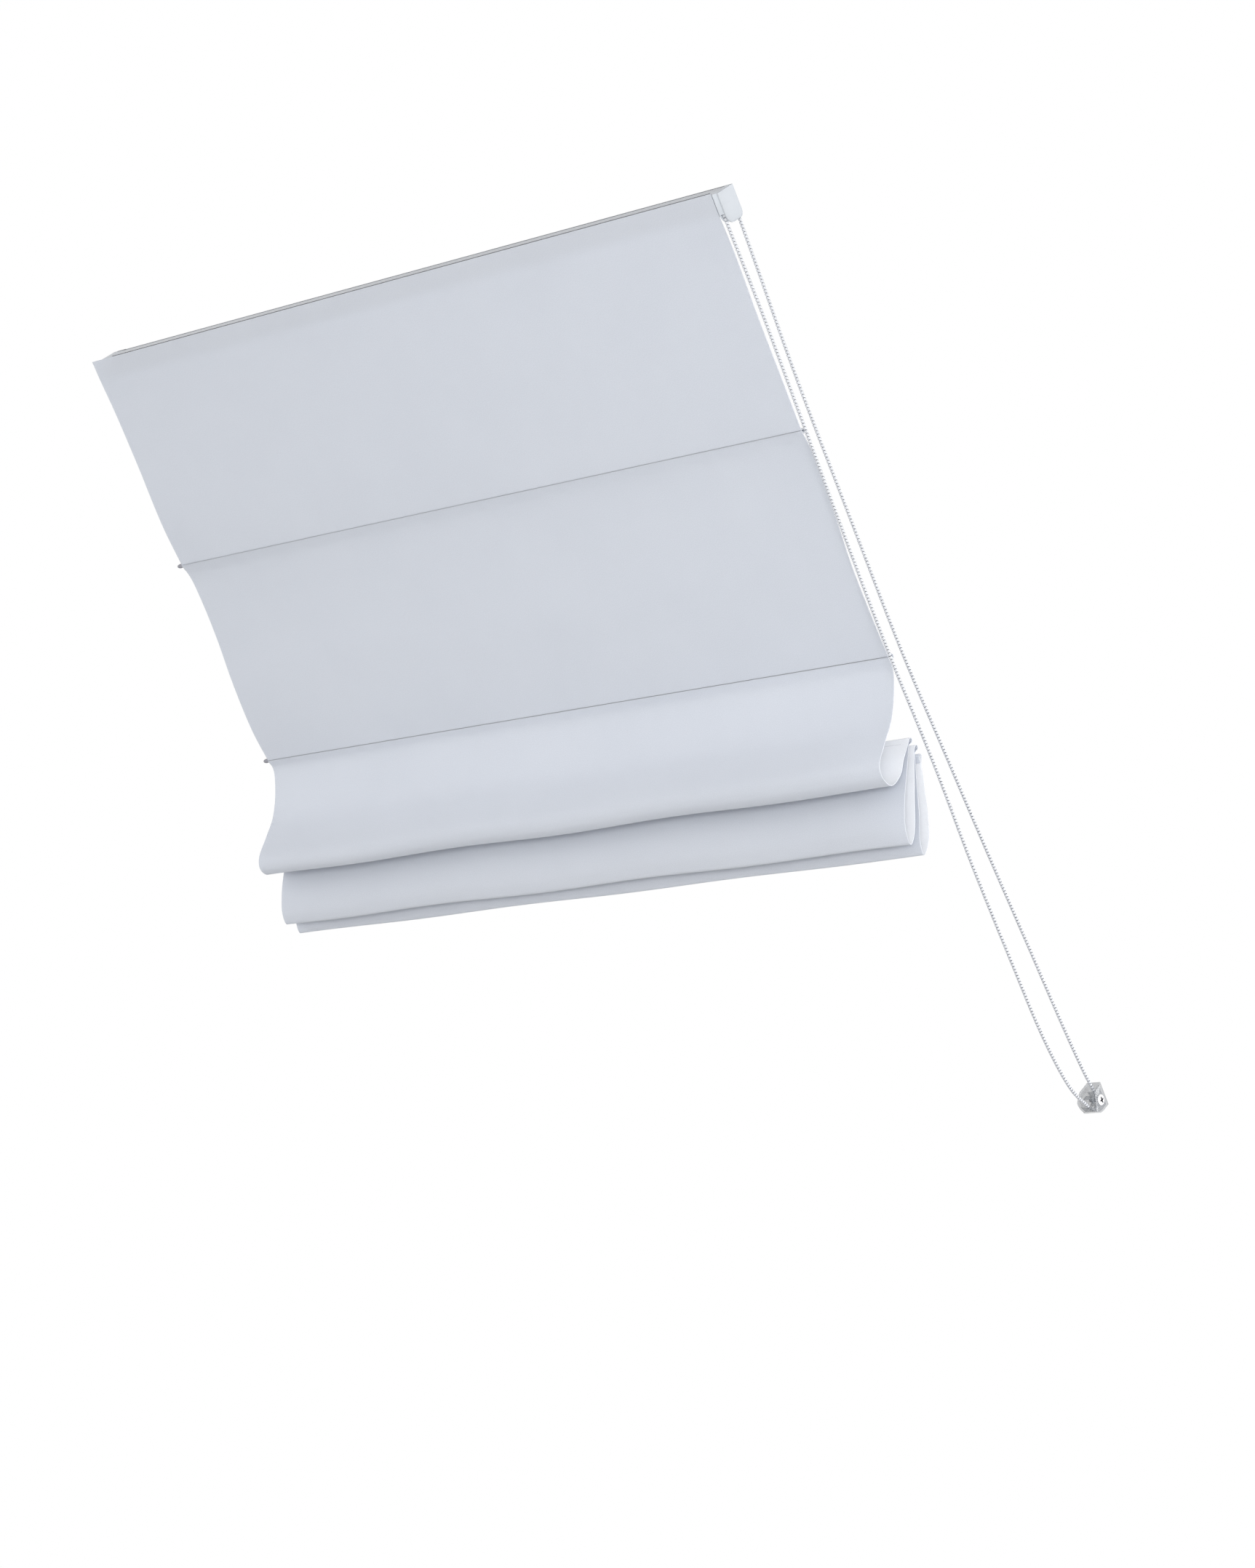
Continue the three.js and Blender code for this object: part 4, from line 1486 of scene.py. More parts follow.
    def stitches(self, number: int, tuck: Tuck) -> bpy.types.Object:
        """Sews one tuck: a row of stitches on each of its two layers.

        Args:
            number: The tuck's number from the top.
            tuck: The tuck.

        Returns:
            The rows as one piece.
        """
        opening = math.tan(math.asin(self.neck_spread / tuck.reach))
        spread = tuck.half_neck + self.thickness / 2 + self.stitch_out * opening
        start = self.left_x + self.stitch_inset
        count = int((self.right_x - self.left_x - 2 * self.stitch_inset) / self.stitch_pitch)
        rows = []
        for side in (1, -1):
            centre = (tuck.stitch + tuck.along() * self.stitch_out + tuck.side() * spread * side) * MM
            end = start + self.stitch_length
            name = f"seam_stitches_{number}"
            row = Bench.bar(name, tuple(centre), self.stitch_radius, start, end, self.stitch_sides)
            with Bench.editing(row):
                Bench.slice(((start + end) / 2 * MM, 0, 0), (1, 0, 0))
                Bench.pick(row, lambda _, normal: abs(normal.x) > 0.9)
                radius = self.stitch_radius * MM
                bpy.ops.mesh.inset(thickness=radius * 0.35, depth=radius * 0.5)
            Bench.repeat(row, count, self.stitch_pitch)
            rows.append(row)
        Bench.gather(rows[0], rows[1:])
        return Bench.dress(rows[0], THREAD)

    def build(self) -> bpy.types.Object:
        """Returns:
            The cloth.
        """
        piece, length = self.sheet()
        rows = [self.stitches(i + 1, tuck) for i, tuck in enumerate(self.tucks())]
        return piece


@dataclass
class CasingRods:
    """The rods in the cloth's casings, and the round caps on their left ends.

    Attributes:
        tucks: The tucks that hold the rods.
        rod_radius: Radius of a rod.
        rod_left_x: Left end of the rods.
        rod_right_x: Right end of the rods.
        rod_sides: How many sides a rod has.
        rod_round: Rounding of a rod's ends.
        cap_radius: Radius of a cap.
        cap_right_x: Right end of the caps, where they are open.
        cap_left_x: Left end of the caps.
        cap_sides: How many sides a cap has.
        cap_round: Rounding of a cap's edges.
        barrel_share: How much of a cap's length is straight, from its open end.
        nose_steps: How the nose narrows, as shares of its length and of the size before.
        socket_radius: Radius of the socket that takes the rod.
        socket_depth: Depth of the socket.
        grip_rings: How many grip rings are sunk round a cap.
        ring_start: How far from the open end the first ring is.
        ring_pitch: Distance from one ring to the next.
        ring_width: Width of a ring.
        ring_waist: How much of its thickness the cap keeps in a ring.
    """

    tucks: Sequence[Tuck]
    rod_radius: float = 2
    rod_left_x: float = -560
    rod_right_x: float = 541
    rod_sides: int = 20
    rod_round: float = 0.35
    cap_radius: float = 3.2
    cap_right_x: float = -550.6
    cap_left_x: float = -567
    cap_sides: int = 28
    cap_round: float = 0.12
    barrel_share: float = 0.62
    nose_steps: tuple[Pair, ...] = ((0.34, 0.93), (0.32, 0.80), (0.22, 0.62), (0.12, 0.35))
    socket_radius: float = 2.3
    socket_depth: float = 9.7
    grip_rings: int = 3
    ring_start: float = 2.2
    ring_pitch: float = 2.4
    ring_width: float = 0.8
    ring_waist: float = 0.93

    def rod(self) -> bpy.types.Object:
        """Models one rod about the X axis, with rounded ends.

        Returns:
            The rod.
        """
        ends = (self.rod_left_x, self.rod_right_x)
        rod = Bench.bar("casing_rod", (0, 0), self.rod_radius, *ends, self.rod_sides)
        Bench.round_edges(rod, self.rod_round)
        return rod

    def cap(self) -> bpy.types.Object:
        """Models one cap about the X axis: a bullet nose, grip rings and a socket.

        Returns:
            The cap.
        """
        shoulder = self.cap_right_x - (self.cap_right_x - self.cap_left_x) * self.barrel_share
        nose = shoulder - self.cap_left_x
        cap = Bench.bar("rod_tip", (0, 0), self.cap_radius, shoulder, self.cap_right_x, self.cap_sides)
        with Bench.editing(cap):
            Bench.pick(cap, lambda _, normal: normal.x < -0.9)
            for step, narrow in self.nose_steps:
                Bench.push((-nose * step * MM, 0, 0), narrow)
            Bench.pick(cap, lambda _, normal: normal.x > 0.9)
            bpy.ops.mesh.inset(thickness=(self.cap_radius - self.socket_radius) * MM)
            Bench.push((-self.socket_depth * MM, 0, 0))
            for i in range(self.grip_rings):
                place = self.cap_right_x - self.ring_start - i * self.ring_pitch
                for cut in (place, place - self.ring_width):
                    Bench.slice((cut * MM, 0, 0), (1, 0, 0))
                self.pick_ring(cap, place - self.ring_width / 2)
                waist = (1, self.ring_waist, self.ring_waist)
                bpy.ops.transform.resize(value=waist, center_override=(place * MM, 0, 0))
        Bench.round_edges(cap, self.cap_round, 1)
        return cap

    def pick_ring(self, cap: bpy.types.Object, place: float) -> None:
        """Picks the outer faces of one grip ring round the X axis.

        Args:
            cap: The cap that is in edit mode.
            place: The middle of the ring's width, in millimetres.
        """
        outside = (self.cap_radius + self.socket_radius) / 2 * MM
        reach = self.ring_width / 2 * MM

        def in_ring(middle: Vector, normal: Vector) -> bool:
            """Tells whether a face is one of the ring's, from its middle and normal."""
            round_it = middle.yz.length > outside and abs(normal.x) < 0.5
            return round_it and abs(middle.x - place * MM) < reach

        Bench.pick(cap, in_ring)

    def build(self) -> list[bpy.types.Object]:
        """Copies the rod and the cap to each tuck.

        Returns:
            The rods and caps, from the top down.
        """
        rod = self.rod()
        cap = self.cap()
        pieces = []
        for i, tuck in enumerate(self.tucks, 1):
            centre = tuck.rod_centre() * MM
            move = (0, centre.x, centre.y)
            pieces.append(Bench.dress(Bench.copy(rod, f"casing_rod_{i}", move), ROD_FIBRE, [f"rod_{i}"]))
            pieces.append(Bench.dress(Bench.copy(cap, f"rod_tip_{i}", move), GREY, [f"rod_cap_{i}"]))
        for pattern in (rod, cap):
            bpy.data.objects.remove(pattern, do_unlink=True)
        return pieces


@dataclass
class Headrail:
    """The channel that the cloth hangs from, its hook tape and its left end cap.

    Attributes:
        left_x: Left end of the channel.
        right_x: Right end of the channel.
        top_down: How far down the slope the channel's top is.
        height: The channel's height along the slope.
        front: How far back the channel's front is.
        wall: Thickness of its wall.
        lip: How far each lip reaches in from the wall.
        edge_round: Rounding of the channel's and the tape's edges.
        groove_back: How far back the edges of the groove along its top are.
        groove_depth: Depth of that groove.
        tape_left_x: Left end of the tape.
        tape_right_x: Right end of the tape.
        tape_top_down: How far down the slope the tape's top is.
        tape_height: The tape's height along the slope.
        tape_front: How far back the tape's front is.
        tape_back: How far back the tape's back is.
        tooth_pitch: Distance from one tooth of the tape's top edge to the next.
        tooth_height: Height of a tooth.
        tooth_share: How much of the pitch a tooth is wide.
        tooth_inset: How far a tooth stands in from the tape's front and back, and its foot shows above it.
        tooth_root: How far a tooth reaches down into the tape.
        tooth_steps: How a tooth leans, rises and narrows, as shares of its width, height and size.
        cap_left_x: Left end of the end cap.
        cap_gap: Gap between the end cap and the channel, and how far the cap stands proud.
        cap_round: Rounding of the end cap's edges.
        cap_rim: Width of the rim round its outer face.
        cap_dish: How deep that face lies in its rim.
        cap_nose: Length of its outer part, which is white all round.
        cap_groove_depth: Depth of the groove in its top.
        cap_groove_skin: How far below its top the groove's painted shade starts.
    """

    left_x: float = -513.7
    right_x: float = 547.6
    top_down: float = 1.4
    height: float = 30
    front: float = 3.5
    wall: float = 2
    lip: float = 5
    edge_round: float = 0.3
    groove_back: Pair = (30.4, 34.4)
    groove_depth: float = 1.3
    tape_left_x: float = -511
    tape_right_x: float = 545.5
    tape_top_down: float = 0.6
    tape_height: float = 23
    tape_front: float = 1
    tape_back: float = 3.2
    tooth_pitch: float = 2.1
    tooth_height: float = 1.3
    tooth_share: float = 0.55
    tooth_inset: float = 0.2
    tooth_root: float = 0.4
    tooth_steps: tuple[Triple, ...] = ((0.2, 0.5, 0.75), (0.4, 0.35, 0.55))
    cap_left_x: float = -537
    cap_gap: float = 0.3
    cap_round: float = 0.6
    cap_rim: float = 2.6
    cap_dish: float = 0.5
    cap_nose: float = 9
    cap_groove_depth: float = 0.9
    cap_groove_skin: float = 0.2

    def groove(self) -> list[float]:
        """Gives the untilted Y of the groove's front and back edges, in metres."""
        return [section(0, back)[0] for back in self.groove_back]

    def channel(self) -> bpy.types.Object:
        """Models the channel: an open box with lips and a groove, given its wall.

        Returns:
            The channel.
        """
        low = (self.left_x * MM, *section(self.top_down + self.height, self.front))
        high = (self.right_x * MM, *section(self.top_down, STAND_OFF))
        rail = Bench.box("rail_channel", low, high)
        top = high[2]
        front, back = self.groove()
        with Bench.editing(rail):
            Bench.pick(rail, lambda _, normal: abs(normal.x) > 0.9 or normal.z < -0.9)
            bpy.ops.mesh.delete(type="ONLY_FACE")
            for y in (front, back):
                Bench.slice((0, y, 0), (0, 1, 0))
            Bench.pick(rail, lambda at, normal: normal.z > 0.9 and front < at.y < back)
            Bench.push((0, 0, -self.groove_depth * MM))
            for side, way in ((low, 1), (high, -1)):
                edge = Vector((side[1], low[2]))
                Bench.pick_edges(rail, lambda a, b: all((end.yz - edge).length < CLOSE for end in (a, b)))
                reach = (0, way * (self.lip + self.wall) * MM, 0)
                bpy.ops.mesh.extrude_edges_move(TRANSFORM_OT_translate={"value": reach})
            bpy.ops.mesh.select_all(action="SELECT")
            bpy.ops.mesh.normals_make_consistent(inside=False)
        if any(face.normal.z < 0 for face in rail.data.polygons if abs(face.center.z - top) < CLOSE):
            rail.data.flip_normals()
        Bench.apply(rail, "SOLIDIFY", thickness=self.wall * MM, offset=-1, use_even_offset=True)
        Bench.round_edges(rail, self.edge_round)
        Bench.dress(rail, RAIL_COAT, ["headrail"], Lie.SLOPE)
        # The groove's faces get painted shade: a dark grey for the shade in the groove.
        Bench.coat(rail, GROOVE_SHADE, lambda at, _: self.sunk(at, top))
        return rail

    def sunk(self, at: Vector, top: float) -> bool:
        """Tells whether a place lies in a piece's groove.

        Args:
            at: The place, before the tilt.
            top: The height that the groove starts at, in metres.

        Returns:
            Whether it lies there.
        """
        front, back = self.groove()
        floor = top - self.groove_depth * MM
        return front - CLOSE < at.y < back + CLOSE and floor - CLOSE < at.z < top - CLOSE

    def tape(self) -> bpy.types.Object:
        """Models the hook tape: a strip with a row of teeth along its top edge.

        Returns:
            The tape.
        """
        low = (self.tape_left_x * MM, *section(self.tape_top_down + self.tape_height, self.tape_front))
        high = (self.tape_right_x * MM, *section(self.tape_top_down, self.tape_back))
        strip = Bench.box("tape_strip", low, high)
        Bench.round_edges(strip, self.edge_round)
        width = self.tooth_pitch * self.tooth_share * MM
        inset = self.tooth_inset * MM
        foot = (low[0], low[1] + inset, high[2] - self.tooth_root * MM)
        peak = (low[0] + width, high[1] - inset, high[2] + inset)
        tooth = Bench.box("tape_tooth", foot, peak)
        with Bench.editing(tooth):
            Bench.pick(tooth, lambda _, normal: normal.z > 0.9)
            for lean, rise, narrow in self.tooth_steps:
                Bench.push((width * lean, 0, self.tooth_height * rise * MM), narrow)
        count = int((self.tape_right_x - self.tape_left_x) / self.tooth_pitch)
        Bench.repeat(tooth, count, self.tooth_pitch)
        Bench.gather(strip, [tooth])
        return Bench.dress(strip, HOOKS, ["hook_strip"], Lie.SLOPE)

    def end_cap(self) -> bpy.types.Object:
        """Models the left end cap: a rounded block that carries on the rail's top and groove.

        Returns:
            The end cap.
        """
        low = (self.cap_left_x * MM, *section(self.top_down + self.height + self.cap_gap, self.front))
        high = ((self.left_x - self.cap_gap) * MM, *section(self.top_down - self.cap_gap, STAND_OFF))
        cap = Bench.box("rail_end_cap", low, high)
        joint = (self.cap_left_x + self.cap_nose) * MM
        with Bench.editing(cap):
            Bench.pick(cap, lambda _, normal: normal.x < -0.9)
            bpy.ops.mesh.inset(thickness=self.cap_rim * MM)
            Bench.push((self.cap_dish * MM, 0, 0))
            Bench.slice((joint, 0, 0), (1, 0, 0))
        Bench.round_edges(cap, self.cap_round, 3)
        top = high[2]
        front, back = self.groove()
        groove_low = (joint, front, top - self.cap_groove_depth * MM)
        Bench.carve(cap, [Bench.box("cap_groove", groove_low, (high[0] + MM, back, top + MM))])
        Bench.dress(cap, WHITE, ["end_cap_left"], Lie.SLOPE)
        Bench.coat(cap, RAIL_COAT, lambda at, normal: normal.z > 0.7 and at.x > joint and at.z > top - MM)
        skin = top - self.cap_groove_skin * MM
        # The end cap's groove gets the same painted shade as the rail's groove.
        Bench.coat(cap, GROOVE_SHADE, lambda at, _: at.x > joint - CLOSE and self.sunk(at, skin))
        return cap

    def build(self) -> list[bpy.types.Object]:
        """Builds the channel, the tape and the end cap."""
        return [self.channel(), self.tape(), self.end_cap()]


@dataclass
class ChainDrive:
    """The chain drive at the right end, under its side cover.

    Attributes:
        left_x: Left face of the flange.
        flange: Thickness of the flange.
        right_x: Right face of the chamber and the core.
        front: How far back the front is.
        top_down: How far down the slope the top is.
        flange_height: The flange's height along the slope.
        flange_round: Rounding of the flange's edges.
        mouth_down: How far down the slope the chamber ends.
        mouth_depth: Depth of the mouths that the chain comes out of.
        mouth_wall: Thickness of the wall in front of and behind the mouths.
        mouth_sides: How far the mouths stay inside the chamber's left and right faces.
        chamber_round: Rounding of the chamber's edges.
        overlap: How far the parts reach into each other before they are welded.
        core_front: How far back the core's front is.
        core_back: How far back the core's back is.
        core_height: How far below the top the core ends.
        core_corner: Radius of the core's lower corners.
        core_round: Rounding of the core's edges.
        cover_gap: Gap between the chamber and the cover.
        cover_thickness: Thickness of the cover.
        cover_height: The cover's height along the slope.
        cover_round: Rounding of the cover's edges.
        cover_border: Width of the cover's raised border.
        cover_dish: Width and depth of the step inside the border.
        front_radius: Radius of the plates' lower front corner.
        back_radius: Radius of their lower back corner.
        arc_steps: How many steps such a corner has.
    """

    left_x: float = 548
    flange: float = 1.5
    right_x: float = 555.2
    front: float = -0.6
    top_down: float = 1.3
    flange_height: float = 39.7
    flange_round: float = 0.3
    mouth_down: float = 28.5
    mouth_depth: float = 6
    mouth_wall: float = 1.2
    mouth_sides: Pair = (1, 0.4)
    chamber_round: float = 0.25
    overlap: float = 0.5
    core_front: float = 6
    core_back: float = 28
    core_height: float = 36.7
    core_corner: float = 4
    core_round: float = 0.2
    cover_gap: float = 0.3
    cover_thickness: float = 2
    cover_height: float = 41.4
    cover_round: float = 0.3
    cover_border: float = 0.8
    cover_dish: Pair = (0.35, 0.45)
    front_radius: float = 13
    back_radius: float = 8.5
    arc_steps: int = 10

    def outline(self, height: float) -> list[Pair]:
        """Draws a side plate that is square at the top and round at the bottom.

        Args:
            height: The plate's height.

        Returns:
            Y and Z of its corners, in metres.
        """
        bottom = self.top_down + height
        found = [section(self.top_down, STAND_OFF), section(self.top_down, self.front)]
        arcs = (
            (self.front + self.front_radius, self.front_radius, math.pi),
            (STAND_OFF - self.back_radius, self.back_radius, 1.5 * math.pi),
        )
        for middle, radius, start in arcs:
            for i in range(self.arc_steps + 1):
                angle = start + math.pi / 2 * i / self.arc_steps
                down = bottom - radius - radius * math.sin(angle)
                found.append(section(down, middle + radius * math.cos(angle)))
        return found

    def chamber(self, left_x: float) -> bpy.types.Object:
        """Models the wheel's chamber, with a mouth for each strand of the chain.

        Args:
            left_x: Its left face in millimetres.

        Returns:
            The chamber.
        """
        low = (left_x * MM, *section(self.mouth_down, self.front))
        high = (self.right_x * MM, *section(self.top_down, STAND_OFF))
        chamber = Bench.box("drive_chamber", low, high)
        backs = (self.front + self.mouth_wall, self.core_front, self.core_back, STAND_OFF - self.mouth_wall)
        walls = [section(0, back)[0] for back in backs]
        left = (left_x + self.mouth_sides[0]) * MM
        right = (self.right_x - self.mouth_sides[1]) * MM

        def in_mouth(at: Vector, normal: Vector) -> bool:
            """Tells whether a face closes one of the mouths, from its middle and normal."""
            along = walls[0] < at.y < walls[1] or walls[2] < at.y < walls[3]
            return normal.z < -0.9 and left < at.x < right and along

        with Bench.editing(chamber):
            for y in walls:
                Bench.slice((0, y, 0), (0, 1, 0))
            for x in (left, right):
                Bench.slice((x, 0, 0), (1, 0, 0))
            Bench.pick(chamber, in_mouth)
            Bench.push((0, 0, self.mouth_depth * MM))
        Bench.round_edges(chamber, self.chamber_round)
        return chamber

    def core(self, left_x: float) -> bpy.types.Object:
        """Models the round-cornered core between the two strands.

        Args:
            left_x: Its left face in millimetres.

        Returns:
            The core.
        """
        low = (left_x * MM, *section(self.top_down + self.core_height, self.core_front))
        high = (self.right_x * MM, *section(self.mouth_down - self.overlap, self.core_back))
        core = Bench.box("drive_core", low, high)
        bottom = low[2] + CLOSE
        with Bench.editing(core):
            Bench.pick_edges(core, lambda a, b: max(a.z, b.z) < bottom and abs(a.x - b.x) > CLOSE)
            bpy.ops.mesh.bevel(offset=self.core_corner * MM, segments=5, affect="EDGES")
        Bench.round_edges(core, self.core_round)
        return core

    def housing(self) -> bpy.types.Object:
        """Welds the housing from its flange, its chamber and its core.

        Returns:
            The housing.
        """
        flange_right = self.left_x + self.flange
        case = Bench.plate("drive_case", self.outline(self.flange_height), self.left_x, flange_right)
        Bench.round_edges(case, self.flange_round)
        inner = flange_right - self.overlap
        Bench.weld(case, [self.chamber(inner), self.core(inner)])
        return Bench.dress(case, WHITE, ["drive_housing"], Lie.SLOPE)

    def cover(self) -> bpy.types.Object:
        """Models the side cover: a rounded plate with a raised border.

        Returns:
            The cover.
        """
        left = self.right_x + self.cover_gap
        right = left + self.cover_thickness
        cover = Bench.plate("drive_side_cover", self.outline(self.cover_height), left, right)
        width, depth = self.cover_dish
        with Bench.editing(cover):
            Bench.pick(cover, lambda _, normal: normal.x > 0.9)
            bpy.ops.mesh.inset(thickness=self.cover_border * MM)
            bpy.ops.mesh.inset(thickness=width * MM, depth=-depth * MM)
        Bench.round_edges(cover, self.cover_round)
        # The cover takes the darker copy of the white plastic, which is painted shade.
        return Bench.dress(cover, COVER_SHADED_WHITE, ["drive_cover"], Lie.SLOPE)

    def build(self) -> list[bpy.types.Object]:
        """Builds the housing and its cover."""
        return [self.housing(), self.cover()]


@dataclass
class ChainTidy:
    """The clear tidy that holds the chain's lower end, with its screw.

    Attributes:
        left_x: Left face of the left cheek.
        right_x: Right face of the right cheek.
        wall: Thickness of the cheeks, and of the hub's walls beside the pocket.
        back_wall: Thickness of the back plate.
        cheek_round: Rounding of the cheeks' edges.
        overlap: How far the guard and the hub reach into the cheeks before they are welded.
        left_cheek: Outline of the left cheek, as down and back.
        right_cheek: Outline of the right cheek.
        guard: Outline of the guard round the chain.
        hub: Outline of the hub inside the chain.
        pocket_top: How far down the slope the hub's pocket starts.
        pocket_bottom: How far down the slope it ends.
        pocket_front: How far back it opens.
        pocket_back: How far back its floor is.
        rib_top: How far down the slope the first rib is.
        rib_pitch: Distance from one rib to the next.
        rib_count: How many ribs there are.
        rib_width: Width of a rib.
        rib_depth: How far a rib stands out from the cheek.
        rib_root: How far it reaches into the cheek.
        rib_inset: How far its front end stays inside the cheek's outline.
        rib_slant: How fast the cheek's front comes forward, for each unit down the slope.
        rib_back: How far back the ribs end.
        rib_narrow: How much of its width a rib keeps at its inner face.
        screw_down: How far down the slope the screw is.
        screw_back: How far back the screw is.
        hole_radius: Radius of the screw's hole.
        hole_sides: How many sides the hole has.
        screw_gap: Gap between the screw's head and the cheek, and between its tip and the hub's wall.
    """

    left_x: float = 574
    right_x: float = 594.5
    wall: float = 2
    back_wall: float = 2.5
    cheek_round: float = 0.3
    overlap: float = 0.5
    left_cheek: tuple[Pair, ...] = (
        (1275, 35.5), (1275.5, 12.8), (1277.3, 8.1), (1283.8, -1.6), (1288, -1.9), (1295.5, 0.2),
        (1304, 5.8), (1308.6, 13), (1309.6, 20), (1309, 35.5),
    )
    right_cheek: tuple[Pair, ...] = (
        (1275, 35.5), (1277.6, 32.8), (1278.8, 15.4), (1299.6, 5.8), (1304, 5.8), (1308.6, 13),
        (1309.6, 20), (1309, 35.5),
    )
    guard: tuple[Pair, ...] = (
        (1291.4, -1.1), (1295.5, 0.2), (1304, 5.8), (1308.6, 13), (1309.6, 20), (1309, 35.5),
        (1307.4, 35.5), (1308, 20.3), (1307.1, 13.6), (1303, 7.1), (1294.9, 1.7), (1291.2, 0.4),
    )
    hub: tuple[Pair, ...] = (
        (1282.5, 6), (1290, 6.8), (1296.2, 10.6), (1300.6, 16), (1301.6, 21), (1299.6, 25),
        (1295, 27), (1288, 27), (1283.5, 25.8),
    )
    pocket_top: float = 1284.5
    pocket_bottom: float = 1293
    pocket_front: float = -1.1
    pocket_back: float = 17
    rib_top: float = 1277.2
    rib_pitch: float = 1.5
    rib_count: int = 17
    rib_width: float = 0.6
    rib_depth: float = 0.7
    rib_root: float = 0.2
    rib_inset: float = 1.6
    rib_slant: float = 1.49
    rib_back: float = 30
    rib_narrow: float = 0.5
    screw_down: float = 1294
    screw_back: float = 21.5
    hole_radius: float = 2.3
    hole_sides: int = 24
    screw_gap: float = 0.3

    def slab(
        self, name: str, rows: Sequence[Pair], left_x: float, right_x: float, edge: float = 0
    ) -> bpy.types.Object:
        """Adds one slab of the tidy.

        Args:
            name: The slab's name.
            rows: Its outline, as down and back.
            left_x: Its left face in millimetres.
            right_x: Its right face in millimetres.
            edge: The rounding of its edges in millimetres, or 0 for none.

        Returns:
            The slab.
        """
        slab = Bench.plate(name, [section(down, back) for down, back in rows], left_x, right_x)
        if edge > 0:
            Bench.round_edges(slab, edge)
        return slab

    def ribs(self) -> list[bpy.types.Object]:
        """Models the fine ribs on the left cheek's inner face, each within the cheek's slanted front.

        Returns:
            The ribs.
        """
        inner = self.left_x + self.wall
        corner_down, corner_back = self.left_cheek[2]
        found = []
        for i in range(self.rib_count):
            down = self.rib_top + i * self.rib_pitch
            front = max(corner_back - (down - corner_down) * self.rib_slant, 0) + self.rib_inset
            low = ((inner - self.rib_root) * MM, *section(down + self.rib_width, front))
            high = ((inner + self.rib_depth) * MM, *section(down, self.rib_back))
            rib = Bench.box(f"tidy_rib_{i}", low, high)
            with Bench.editing(rib):
                Bench.pick(rib, lambda _, normal: normal.x > 0.9)
                bpy.ops.transform.resize(value=(1, 1, self.rib_narrow))
            found.append(rib)
        return found

    def body(self) -> bpy.types.Object:
        """Welds the cheeks, back plate, guard, hub and ribs, and opens the pocket and the hole.

        Returns:
            The tidy.
        """
        inner_left = self.left_x + self.wall
        inner_right = self.right_x - self.wall
        between = (inner_left - self.overlap, inner_right + self.overlap)
        tidy = self.slab("clear_tidy", self.left_cheek, self.left_x, inner_left, self.cheek_round)
        plate_low = (self.left_x * MM, *section(self.left_cheek[-1][0], STAND_OFF - self.back_wall))
        plate_high = (self.right_x * MM, *section(self.left_cheek[0][0], STAND_OFF))
        parts = [
            self.slab("tidy_cheek", self.right_cheek, inner_right, self.right_x, self.cheek_round),
            self.slab("tidy_guard", self.guard, *between),
            self.slab("tidy_hub", self.hub, *between),
            Bench.box("tidy_plate", plate_low, plate_high),
            *self.ribs(),
        ]
        Bench.weld(tidy, parts)
        hub_left = inner_left + self.wall
        pocket = Bench.box(
            "tidy_pocket",
            (hub_left * MM, *section(self.pocket_bottom, self.pocket_front)),
            ((inner_right - self.wall) * MM, *section(self.pocket_top, self.pocket_back)),
        )
        centre = section(self.screw_down, self.screw_back)
        hole_ends = (hub_left, self.right_x + 1)
        hole = Bench.bar("tidy_hole", centre, self.hole_radius, *hole_ends, self.hole_sides)
        Bench.carve(tidy, [pocket, hole])
        return Bench.dress(tidy, CLEAR_TIDY, ["chain_tidy"], Lie.SLOPE, 35)

    def build(self) -> list[bpy.types.Object]:
        """Builds the tidy and its screw.

        Returns:
            The tidy and the screw.
        """
        tip_x = self.left_x + 2 * self.wall + self.screw_gap
        head_x = self.right_x + self.screw_gap
        screw = TidyScrew(section(self.screw_down, self.screw_back), tip_x, head_x)
        return [self.body(), screw.build()]


